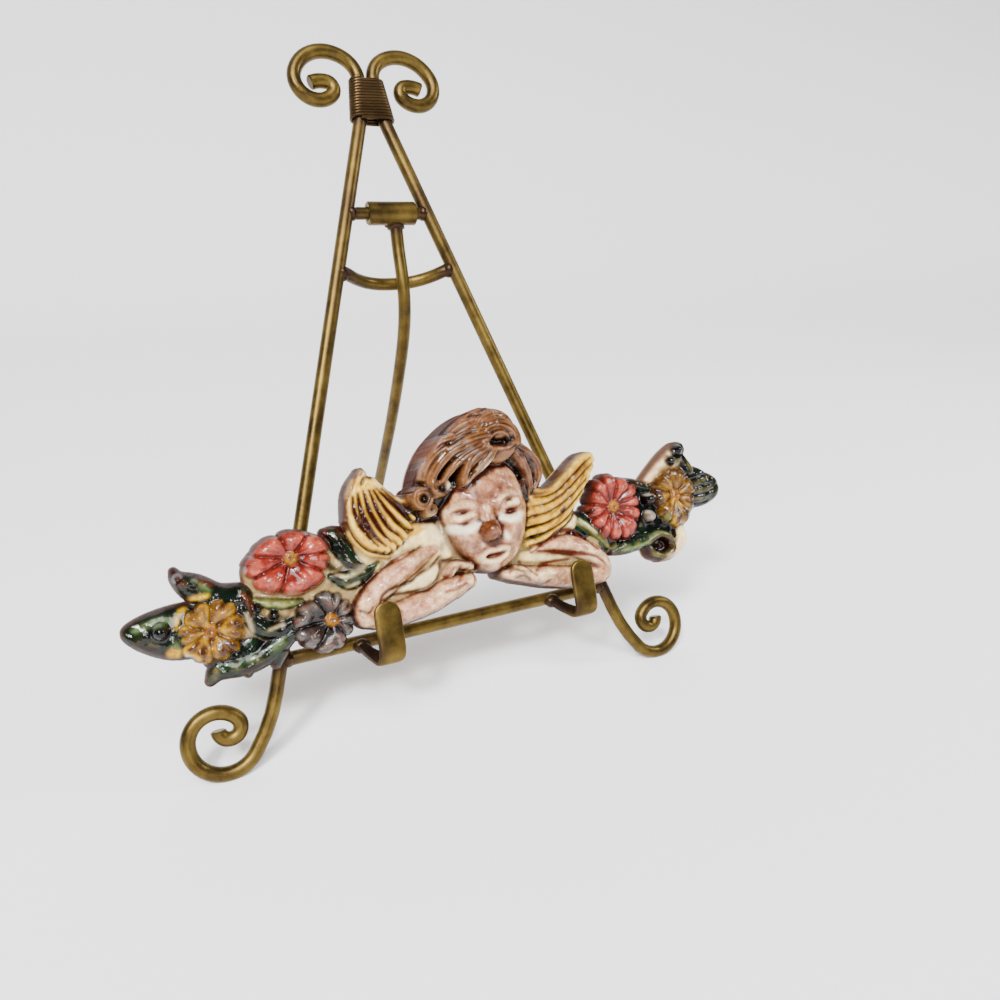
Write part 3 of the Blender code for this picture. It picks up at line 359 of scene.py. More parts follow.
# Cut lines with colour in them: colour, strength, cut, paths of (u, v, radius)
LINES = (
    # Left wing: brown between the feathers
    (tone(80, 36, 12), 1, 0.9, (
        ((-39.8, 60, 0.6), (-40.2, 54, 1), (-38.6, 48, 1.1), (-35.6, 42.4, 0.8), (-32.6, 38.6, 0.4)),
        ((-37.6, 61, 0.6), (-37.6, 54, 1.3), (-35.8, 47.6, 1.4), (-32.8, 42, 1), (-29.4, 38, 0.4)),
        ((-35.2, 61.5, 0.6), (-34.4, 54, 1.3), (-32.4, 48, 1.4), (-29.8, 43, 1), (-26.8, 39.4, 0.4)),
        ((-32.8, 61.5, 0.6), (-31.4, 55, 1.1), (-29.4, 49.4, 1.3), (-26.8, 44.6, 1), (-23.4, 41.2, 0.4)),
        ((-31, 61.5, 0.6), (-28.8, 56, 1), (-26, 51, 1.1), (-23.4, 46.8, 1), (-20.4, 43.8, 0.6),
         (-16.4, 42.6, 0.4)),
        ((-29.6, 62, 0.4), (-26.4, 57.6, 1), (-23, 53, 1), (-20, 49, 0.8), (-17.6, 46.2, 0.4)),
        ((-27.4, 61.6, 0.4), (-23.6, 57, 0.7), (-20.2, 53.4, 0.8), (-17.8, 50.4, 0.4)),
        ((-43.6, 50.5, 0.6), (-42.2, 45, 0.6), (-39.8, 40.6, 0.6), (-36.4, 37.4, 0.7), (-33.6, 36.2, 0.8),
         (-29.6, 34.6, 0.7), (-26.6, 35, 0.4)),
        ((-24.6, 36.4, 0.7), (-24, 36.8, 0.6)),
        ((-21.6, 37.8, 0.6), (-21, 38.2, 0.4)),
        ((-35.6, 64.6, 0.6), (-33.6, 67.2, 0.6), (-31.2, 66.4, 0.6)),
    )),
    # Right wing: lines between the feathers
    (tone(84, 44, 14), 1, 0.8, (
        ((39.6, 47.6, 0.3), (46, 47.2, 0.5), (52.6, 49, 0.6), (60, 53.6, 0.5), (68, 58.8, 0.5),
         (73, 61.4, 0.3)),
        ((38, 43.8, 0.3), (45, 43.9, 0.5), (52, 45.8, 0.6), (60, 50, 0.6), (67, 54.8, 0.5),
         (73.4, 58.6, 0.3)),
        ((36, 39.8, 0.3), (44, 39.9, 0.5), (52, 42.3, 0.5), (60, 46.2, 0.5), (69, 52, 0.4)),
        ((35.6, 35, 0.3), (44, 35.6, 0.5), (52, 38, 0.6), (60, 42.4, 0.6), (66, 46.8, 0.4)),
        ((35, 31, 0.3), (42, 31.2, 0.5), (50, 33.2, 0.6), (57, 36.6, 0.5), (62, 40.4, 0.3)),
        ((34, 26.8, 0.4), (42, 27.4, 0.6), (49, 30.6, 0.7), (56, 33, 0.6), (60, 35.8, 0.5), (65, 41, 0.4),
         (72, 49, 0.4)),
        ((52.4, 39.4, 0.6), (54.6, 40.4, 0.6)),
    )),
    # Ribs of the leaf at the right end
    (BLACK, 0.9, 0.9, (
        ((128, 38.8, 0.4), (136, 39.2, 0.6), (143, 39.8, 0.4)),
        ((128, 35.2, 0.4), (136, 35.2, 0.6), (143, 36.2, 0.4)),
        ((128, 42.6, 0.4), (134, 43.6, 0.6), (140, 44.4, 0.4)),
        ((127, 31.6, 0.4), (134, 30.8, 0.6), (139, 31.4, 0.4)),
    )),
    # Left arm: creases of the sleeve, the elbow and the hand
    (BROWN, 0.8, 0.7, (
        ((-36, 15.6, 0.5), (-34.4, 19.2, 0.7), (-28.8, 21, 0.7), (-21, 21.6, 0.7), (-16.8, 24, 0.6),
         (-11, 26, 0.5), (-6.8, 29.4, 0.4)),
        ((-34.4, 16.6, 0.4), (-28.6, 17.8, 0.7), (-20.6, 17.2, 0.8), (-14.8, 16.8, 0.7),
         (-10.8, 19.2, 0.6), (-8, 23.4, 0.6), (-6.4, 27, 0.8), (-1.6, 27.2, 0.9), (1.4, 26.2, 0.6)),
        ((-46.4, 15.4, 0.5), (-43.6, 19.6, 0.6), (-38.4, 25, 0.5), (-31, 29.6, 0.5), (-24, 31.6, 0.4),
         (-14.4, 35.4, 0.4)),
        ((-44.6, 14.6, 0.4), (-41.4, 13, 0.5), (-39.4, 15, 0.4)),
    )),
    (RED_BROWN, 0.6, 0.5, (
        ((-6.6, 20.6, 0.8), (-4.4, 23.6, 0.8), (-0.8, 25, 0.6)),
        ((-3.6, 17.2, 0.6), (0.4, 20.6, 0.7), (2.4, 23.6, 0.5)),
        ((-8.4, 15, 0.6), (-4, 15.4, 0.7), (0.6, 16.8, 0.6)),
        ((1.4, 13.4, 0.5), (4, 16.4, 0.6), (5.4, 20, 0.5)),
    )),
    # Right arm: creases of the sleeve and the fingers
    (RED_BROWN, 0.85, 0.8, (
        ((38.4, 23.6, 0.4), (44.6, 22.6, 0.9), (51.6, 20.6, 1.2), (59, 18.8, 1), (65.4, 16.6, 0.7),
         (69.6, 13.2, 0.5), (70.6, 11.4, 0.3)),
        ((34.6, 15.4, 0.4), (41.4, 17.2, 0.7), (49.2, 17.4, 0.6), (54.6, 16.8, 0.4)),
        ((35.4, 23.4, 0.4), (42.4, 26.6, 0.4), (49, 29.4, 0.7), (56, 30.4, 0.9), (59.4, 29.2, 0.7),
         (64, 24, 0.5), (69, 19, 0.4)),
    )),
    (BROWN, 0.7, 0.5, (
        ((20.6, 17.6, 0.6), (24, 18.4, 0.8), (28.4, 16.2, 0.6)),
        ((23.4, 14.6, 0.6), (27.4, 15, 0.7), (30.8, 12.8, 0.5)),
        ((29, 20.6, 0.5), (31.4, 16.6, 0.6), (34.4, 13.6, 0.5)),
        ((34.8, 9.8, 0.6), (38, 9.2, 0.6), (41, 10.4, 0.4)),
    )),
    # Face: brow lines, closed lids, mouth
    (RED_BROWN, 0.75, 0.4, (
        ((-1.2, 42.6, 0.25), (1, 41.8, 0.45), (3.8, 42.6, 0.45), (6.2, 43.8, 0.25)),
        ((20.2, 45.2, 0.3), (22.2, 43.9, 0.45), (24.8, 43.7, 0.45), (27, 45, 0.35), (29, 45.8, 0.2)),
    )),
    (MAUVE, 0.5, 0.22, (
        ((-1.6, 46.8, 0.4), (1.6, 47.4, 0.5), (5.6, 46.6, 0.4)),
        ((17.4, 44.6, 0.5), (19.2, 48.4, 0.6), (23.4, 49.8, 0.6), (28.8, 49.2, 0.4)),
        ((8.6, 29.8, 0.35), (13.6, 30.4, 0.5), (20.4, 29.9, 0.4)),
    )),
    (tone(120, 48, 36), 0.95, 1.3, (
        ((10.8, 26.2, 0.7), (13.2, 26.5, 1.1), (15.8, 26.6, 0.7)),
    )),
)

# Brush strokes over the glaze: colour, strength, softness, paths of (u, v, radius)
STROKES = (
    # Face
    # Painted highlights: cream-white bands under the eyes, a band along the hairline and a spot by the left
    # curl; cream patches beside the nose
    (WHITE, 0.95, 1, (
        ((-5, 41, 1.4), (-1, 39.8, 2), (3.6, 39.4, 2.1), (8, 41.4, 1.8)),
        ((17.4, 42.2, 1.6), (21.4, 41, 1.9), (26.4, 40.6, 2), (29.6, 41.4, 1.2)),
        ((9, 33.4, 0.9), (8.4, 31.8, 0.7)),
        ((18.4, 34.6, 1.2), (19.6, 32.6, 0.9)),
        ((6.4, 57.4, 0.9), (10.6, 60.2, 1), (15, 63.8, 1), (18, 66, 0.7)),
        ((-2.6, 57.4, 0.5), (-0.8, 60, 0.9), (1.4, 61.6, 0.5)),
    )),
    (CREAM, 0.95, 0.7, (
        ((0.6, 44.2, 0.9), (4.6, 45, 1)),
        ((22, 46.8, 0.9), (26.6, 47.6, 0.9)),
        ((7.2, 26.2, 1), (9.8, 28.6, 1), (13.6, 28.6, 0.8), (17.2, 29, 1), (19.6, 27.8, 1),
         (18.6, 25.4, 1.1), (14.8, 24, 1.1), (10.8, 24.2, 1.1), (7.2, 26.2, 1)),
    )),
    (tone(136, 92, 60), 1, 0.5, (
        ((11.9, 37.4, 4.5), (12, 37.4, 4.5)),
    )),
    # Painted highlight on the ball of the nose
    (tone(196, 160, 140), 0.7, 1.6, (
        ((11.6, 37, 1), (13, 36.6, 0.8)),
    )),
    # Painted shade at the inner corners of the eyes, and a short red line above the mouth
    (RED_BROWN, 0.45, 1.6, (
        ((10.4, 44.8, 1), (11.4, 43.8, 0.8)),
        ((23, 44.4, 0.8), (25.4, 44.4, 0.8)),
        ((13.2, 31.8, 0.4), (13.4, 30.6, 0.4)),
    )),
    (MAUVE, 0.5, 3, (
        ((0.4, 33.6, 3.2), (5, 31.2, 2.6)),
        ((24.6, 34.6, 2.8), (27, 30.6, 2.2)),
        ((6, 53, 3.2), (14, 52.6, 3.4), (23, 57, 3.4)),
    )),
    # Painted shade along the left edge of the face and along its right edge under the hair
    (BROWN, 0.45, 2, (
        ((-5.6, 45, 0.8), (-3.8, 37, 1), (0.6, 29.6, 1.2), (5.6, 23.6, 1.2), (10.6, 19.8, 1)),
        ((33.4, 60, 1), (33.6, 54, 1), (33.8, 46, 0.6)),
    )),
    # Hair: painted shade in dark hollows, and painted highlights in light streaks
    # Painted shade: near black in the hollows of the curls and under the right-hand lock
    (tone(22, 10, 6), 0.9, 0.9, (
        ((16.8, 73.2, 0.7), (20.6, 73, 1.3), (25.4, 73.2, 1.3), (28.2, 74, 0.6)),
        ((-6.4, 57.6, 1.2), (-4.6, 56.6, 1.4)),
        ((-12.6, 54.2, 1.3), (-12.2, 53.6, 1.3)),
        ((-9.8, 50.2, 0.9), (-9.4, 49.8, 0.9)),
        ((33.2, 66.6, 0.4), (37.6, 65.6, 0.7), (41.4, 63, 0.5)),
    )),
    (RED_BROWN, 0.7, 0.8, (
        ((-5.2, 74.6, 0.6), (-2.6, 75.2, 0.8)),
        ((-13.6, 66, 0.8), (-15.4, 61, 0.9)),
    )),
    # Painted highlights: light streaks along the upper left edge of the hair and over the crown
    (tone(196, 158, 132), 0.5, 1.4, (
        ((-14.2, 63, 0.8), (-9.6, 72, 0.9), (-3, 79, 0.8)),
        ((6, 81.6, 0.7), (14, 83, 0.8), (20, 82.6, 0.6)),
        ((-10.4, 66.6, 0.7), (-8.6, 69, 0.7)),
    )),
    # Wings: warm yellow at the feather ends and a cream shoulder
    (tone(226, 186, 78), 0.7, 2.4, (
        ((-33, 40, 2), (-26, 41.4, 2.2), (-19, 44.6, 2)),
        ((-40, 44, 1.4), (-37, 40, 1.4)),
    )),
    (CREAM, 0.8, 2, (
        ((-14, 46, 1.4), (-8, 44, 3.2), (-7, 38, 3.2), (-4, 33, 2.2)),
        ((-34.6, 68.6, 0.8), (-31.8, 69, 0.8)),
        ((-29, 66, 0.8), (-24, 59.6, 0.8)),
    )),
    (tone(196, 160, 66), 0.6, 2, (
        ((37, 48, 1.4), (36, 42, 2), (37, 36, 2), (40, 31, 1.4)),
    )),
    (tone(120, 72, 40), 0.5, 1.6, (
        ((54, 50, 1.2), (62, 54, 1.4), (69, 58, 1.2)),
    )),
    (tone(92, 48, 16), 0.8, 0.6, (
        ((58, 43.6, 0.2), (63.6, 49.2, 0.3), (68.6, 55.6, 0.2)),
        ((46, 38.6, 0.2), (52.4, 41.6, 0.3), (57.6, 46.8, 0.2)),
        ((41.4, 42.8, 0.2), (48, 44.8, 0.3), (55, 50.2, 0.2)),
        ((43, 31.8, 0.2), (49.6, 34.8, 0.3), (54.2, 38.2, 0.2)),
        ((62, 53.4, 0.2), (66.2, 57.4, 0.3), (69.8, 61, 0.2)),
    )),
    # Sleeves
    (CREAM, 0.9, 1.2, (
        ((-32, 18.8, 0.5), (-24, 19.6, 0.9), (-16, 20, 1.6), (-11, 22.8, 2), (-9.4, 26.4, 1.6),
         (-5, 29, 1.4)),
        ((35.6, 21.4, 0.8), (42, 20.4, 1.4), (50, 18.8, 0.8), (58, 17.4, 0.8), (66, 14.8, 0.8),
         (69.4, 12, 0.5)),
        ((-1.6, 21.4, 0.7), (1.2, 23.8, 0.7)),
        ((26.4, 17.6, 0.6), (29.2, 14.8, 0.6)),
    )),
    (PINK, 0.5, 2.2, (
        ((-40, 19, 1.4), (-32, 25.4, 2), (-22, 28, 2)),
        ((-34, 9.4, 1.6), (-24, 11, 1.8), (-14, 12, 1.6)),
        ((44, 25.2, 1.2), (54, 25.4, 1.8), (61, 22.6, 1.6)),
    )),
    # Brown outline with painted shade along the lower sides of the arms
    (tone(112, 62, 48), 0.55, 2.2, (
        ((-36, 6, 1.2), (-24, 5.6, 1.2), (-12, 7.4, 1.2), (-2, 11, 1.2), (3, 14.6, 1)),
        ((26, 13, 1), (36, 9.6, 1.4), (48, 8.6, 1.6), (58, 7, 1.4)),
        ((-12, 31, 1.2), (-18, 27.6, 1.2)),
    )),
    # Left garland
    (tone(30, 44, 32), 0.85, 2.2, (
        ((-88, 27, 1.6), (-84.6, 19, 1.4), (-78, 16.6, 2.2), (-72, 13, 1.8)),
        ((-82, 9, 1.4), (-76, 12, 1.4), (-72.6, 17.6, 1.4)),
        ((-49, 30, 1.6), (-53, 27.4, 1.2)),
    )),
    (CREAM, 0.7, 1.4, (
        ((-86.6, 22, 0.8), (-86.2, 14.6, 1)),
        ((-82, 29, 0.6), (-74, 26.6, 0.6), (-66, 25.6, 0.6)),
        ((-44.4, 30.6, 0.8), (-39, 31.6, 0.7)),
    )),
    (PALE_GREEN, 0.75, 2, (
        ((-125, 24.4, 0.8), (-119.6, 25.6, 1.2), (-113, 25.2, 1)),
        ((-112.6, 15.4, 1), (-111, 19, 0.8)),
        ((-94, 5.4, 0.4), (-90, 4.6, 0.5), (-86, 5.4, 0.4)),
        ((-79, 7.4, 0.4), (-74.6, 10, 0.4)),
        ((-103, 38.8, 0.6), (-98.6, 34, 0.8)),
    )),
    (RED_BROWN, 0.75, 1.2, (
        ((-109.6, 43.4, 0.9), (-107, 37.6, 0.9)),
        ((-102, 39.2, 0.8), (-97, 35.4, 0.9)),
        ((-122, 15.4, 0.8), (-116, 12.4, 0.9)),
        ((-91, 0.4, 0.7), (-84, 2.2, 0.8)),
    )),
    (tone(150, 138, 104), 0.7, 1.2, (
        ((-101.6, 0.6, 0.8), (-100.4, 4.2, 0.9)),
        ((-121, 18.6, 0.5), (-118.6, 16.8, 0.5)),
    )),
    (tone(30, 76, 62), 0.6, 1.4, (
        ((-91, 3.6, 0.8), (-88.6, 7.6, 0.9)),
        ((-82, 4.4, 0.8), (-79.6, 8.6, 0.9)),
        ((-98.6, 32.4, 1), (-91, 30.4, 1.2)),
        ((-45, 41, 1), (-43, 36.4, 1)),
    )),
    (BLACK, 0.8, 1.6, (
        ((-127, 26.4, 0.9), (-120, 28.6, 1), (-113, 30, 0.9)),
        ((-122, 16.6, 0.9), (-116, 13.8, 1)),
        ((-99, 0.8, 1), (-92, 1, 1), (-84, 1.8, 1), (-79, 2, 0.8)),
        ((-94, 7.6, 0.9), (-86, 8.4, 1.2), (-78.6, 12, 1)),
        ((-48, 44, 1.4), (-46.6, 39, 1.4)),
        ((-96, 31.8, 1), (-89, 31.4, 1.4)),
    )),
    (YELLOW, 0.9, 1, (
        ((-114.4, 13.4, 1.8), (-110.8, 11.2, 2.4), (-106, 9.6, 1)),
        ((-109.4, 27.6, 1), (-105, 31.2, 1.2), (-99.4, 31.8, 0.8)),
        ((-111.6, 22.4, 0.7), (-110.8, 26, 0.8)),
    )),
    # Painted highlights: cream streaks on the leaf right of the coral flower and on the dark leaf below it
    (CREAM, 0.8, 0.8, (
        ((-51, 30.4, 0.4), (-46, 28.6, 0.7), (-40, 30, 0.4)),
        ((-47.4, 24.6, 0.4), (-42.6, 25.4, 0.6)),
        ((-79.6, 14.6, 0.4), (-74, 15.4, 0.4)),
    )),
    (tone(34, 46, 36), 0.8, 1.2, (
        ((-84, 21.4, 1.2), (-79.6, 17.6, 1.6), (-74.6, 18.6, 1.2)),
        ((-71, 20.4, 0.6), (-67, 18.8, 0.5)),
        ((-54.6, 36.6, 0.8), (-51.4, 32.6, 1.2)),
    )),
    (GREEN, 0.7, 1.6, (
        ((-52, 33.4, 1.2), (-45.8, 32.6, 1.4)),
        ((-86, 12.6, 1.2), (-80.4, 15.8, 1.2)),
        ((-46, 27, 1), (-38, 29.8, 0.9)),
    )),
    (BROWN, 0.6, 1, (
        ((-52, 30.6, 0.5), (-46.6, 31.4, 0.5), (-41.6, 34, 0.4)),
        ((-87.4, 29, 0.8), (-85.4, 25, 0.8), (-85.6, 20.6, 0.7)),
        ((-69, 22.6, 0.5), (-64.4, 25.6, 0.5)),
        ((-125, 19.6, 1), (-119, 13.6, 0.8)),
    )),
    # Right garland
    (BLACK, 0.8, 1.4, (
        ((99, 42.8, 1.6), (104, 43.6, 1.4), (107.4, 38, 1.4), (106.4, 31, 1.2)),
        ((128.4, 46.4, 1.2), (134, 46, 1.4), (140, 44, 1), (144.4, 40.4, 0.8)),
        ((131, 32, 0.8), (137, 32, 1), (142, 34, 0.8)),
        ((88, 19.6, 0.8), (95, 19.8, 0.9)),
        ((112, 24.6, 1.4), (104, 24.8, 1.2)),
        ((124.4, 58.6, 1), (126.6, 60.4, 1)),
        ((121.6, 53.4, 1.6), (126.4, 52.4, 1.6)),
    )),
    # Light streaks along the ribs of the end leaf; the cream streaks by the berries between the coral and
    # ochre flowers are painted highlights
    (tone(156, 148, 112), 0.7, 0.9, (
        ((129.6, 36.6, 0.5), (136, 37, 0.6), (142.4, 37.6, 0.4)),
        ((130, 40.4, 0.5), (136, 41.6, 0.5), (141, 42.6, 0.4)),
        ((129.6, 33.2, 0.5), (135, 32.8, 0.5), (139, 32.8, 0.4)),
        ((96.2, 25.4, 0.7), (98, 29.6, 0.9)),
        ((104.8, 44.6, 0.4), (107.8, 41.2, 0.5)),
        ((106.6, 30, 0.6), (109.4, 26.6, 0.9), (112, 23.4, 0.4)),
        ((129.4, 50.6, 0.5), (131.4, 46.4, 0.5)),
    )),
    (tone(30, 76, 62), 0.6, 1.2, (
        ((98.6, 43.6, 0.9), (103.4, 41.4, 0.9)),
        ((94, 22.4, 0.8), (102, 23.4, 0.9)),
        ((122, 28, 0.8), (118, 25, 0.8)),
    )),
    # Shade round the flowers of both garlands
    (tone(108, 44, 28), 0.42, 2.6, (
        ((69.4, 34.6, 1.6), (70.6, 44.6, 2.4), (77, 50.6, 2.4), (86, 51, 1.8)),
        ((93, 47, 1.8), (97, 38, 1.6), (94, 28, 1.6)),
        ((72, 27.4, 1.6), (78, 21.6, 1.8), (86, 21, 1.4)),
        ((-84, 40, 1), (-78, 48, 1.2), (-66, 51, 1.2)),
        ((-58, 30.4, 1), (-66, 27, 1.2), (-76, 28.6, 1.2)),
    )),
    (tone(78, 44, 18), 0.62, 3, (
        ((108, 42, 2.4), (114, 48, 3), (121, 48, 3), (127, 42, 2.4)),
        ((128, 36, 2), (126, 29, 2.4)),
        ((109, 32, 1.6), (111, 27, 1.4)),
    )),
    (tone(92, 58, 48), 0.5, 1.6, (
        ((-94.6, 12, 2.2), (-92, 14, 2.2)),
        ((-102, 9.6, 1.6), (-99, 8.6, 1.6)),
        ((-91, 20, 1.6), (-90, 22.6, 1.6)),
        ((-97.4, 27.6, 1.6), (-95, 27.4, 1.4)),
        ((-105.4, 25.4, 1.4), (-103.6, 27, 1.4)),
    )),
    (RED_BROWN, 0.6, 1.6, (
        ((70.6, 44.6, 0.9), (75, 49.6, 1)),
        ((72, 28.4, 0.7), (77, 21.6, 0.8)),
        ((92.6, 47, 0.8), (95.4, 43.4, 0.8)),
        ((86, 20.8, 0.5), (91.6, 24.6, 0.6)),
    )),
    (tone(112, 74, 38), 0.6, 1.8, (
        ((108.6, 45.6, 1), (113, 49.6, 1.2), (118.6, 50.4, 1)),
        ((127.6, 45.2, 0.9), (130, 38.6, 1), (128.6, 31.4, 0.9)),
        ((107, 40, 0.8), (106.4, 33.6, 0.8)),
        ((120.4, 41.6, 0.7), (123.6, 38.4, 0.7)),
    )),
    # Scroll leaf, berries, streaks and painted highlights of the right garland
    (PALE_GREEN, 0.85, 0.8, (
        ((84, 15.4, 0.6), (91, 15.8, 0.7), (98, 17, 0.5)),
        ((99.6, 19.6, 0.5), (105, 20.8, 0.6), (110.6, 19.2, 0.5), (112.8, 15.4, 0.4)),
        ((110.6, 27.6, 0.8), (113.4, 23.8, 0.6)),
    )),
    (BROWN, 0.7, 0.8, (
        ((101.4, 17.4, 0.8), (106, 18.2, 1), (109.8, 15.6, 0.9), (110, 12.4, 0.8)),
        ((114.6, 21, 1), (115.4, 16, 1), (113.6, 12.6, 0.8)),
        ((76.4, 17.6, 1.2), (79.4, 20.6, 0.9)),
        ((98, 45.8, 0.8), (104, 45.4, 0.8)),
    )),
    (BLACK, 0.95, 0.7, (
        ((118, 54, 2.6), (118.2, 54, 2.6)),
        ((122.8, 57.6, 3.2), (127.2, 60.4, 3.4)),
        ((121.4, 55.6, 1.2), (127, 55.4, 1.6)),
    )),
    (tone(228, 190, 170), 0.7, 1.2, (
        ((105, 47, 0.8), (110.4, 51.4, 1.2), (115, 56, 0.7), (119.4, 59.6, 0.4)),
        ((108, 8.6, 0.8), (114.6, 10.4, 0.8), (118.6, 15, 0.7)),
    )),
    # Painted highlights on the berries and along the pale leaf by the coral flower
    (WHITE, 0.7, 0.6, (
        ((99.6, 31.2, 0.4), (101.6, 32.4, 0.5), (103.6, 31.2, 0.4)),
        ((100.4, 39.6, 0.3), (103.4, 39.8, 0.4)),
        ((63.6, 34, 0.5), (67.4, 29.6, 0.5), (70.4, 26.4, 0.3)),
    )),
)

# Shade of the coral petals, and the power that deepens every colour of the glaze
CORAL_SHADE = tone(124, 50, 38)
DEPTH_OF_COLOUR = 1.56


def blur(values, reach):
    """Binomial blur over the grid, about reach millimetres wide."""
    cells = reach / STEP
    for _ in range(max(1, round(cells * cells * 2))):
        for axis in (0, 1):
            padded = np.concatenate([np.take(values, [0], axis), values, np.take(values, [-1], axis)], axis)
            count = values.shape[axis]
            before, after = (np.take(padded, range(s, s + count), axis) for s in (0, 2))
            values = (before + 2 * values + after) / 4
    return values


def petal_colour(glaze, petal, share, wave, cleft):
    """Second colour of the petals, and how much of it shows."""
    lobe = smoothstep(0.28, 0.5, share) * smoothstep(0.98, 0.84, share) * smoothstep(0.3, 0.7, wave)
    if glaze == "ochre":
        colour = np.broadcast_to(tone(104, 72, 60), share.shape + (3,))
        amount = lobe * (1 - 0.5 * cleft) * (0.85 + 0.15 * np.sin(petal * 5.1))
    elif glaze == "slate":
        turned = (np.sin(petal * 2.9 + share * 5) > 0)[..., None]
        colour = np.where(turned, tone(96, 104, 112), tone(136, 96, 84))
        colour = np.where((cleft > 0.5)[..., None], tone(50, 22, 18), colour)
        amount = lobe * 0.55
    else:
        colour = np.broadcast_to(CORAL_SHADE, share.shape + (3,))
        amount = 0.55 * smoothstep(0.30, 0.02, wave) + 0.5 * smoothstep(0.48, 0.24, share)
        amount = amount + 0.7 * smoothstep(0.78, 1.0, share) * (0.5 + 0.5 * np.sin(petal * 2.1))
    return colour, amount


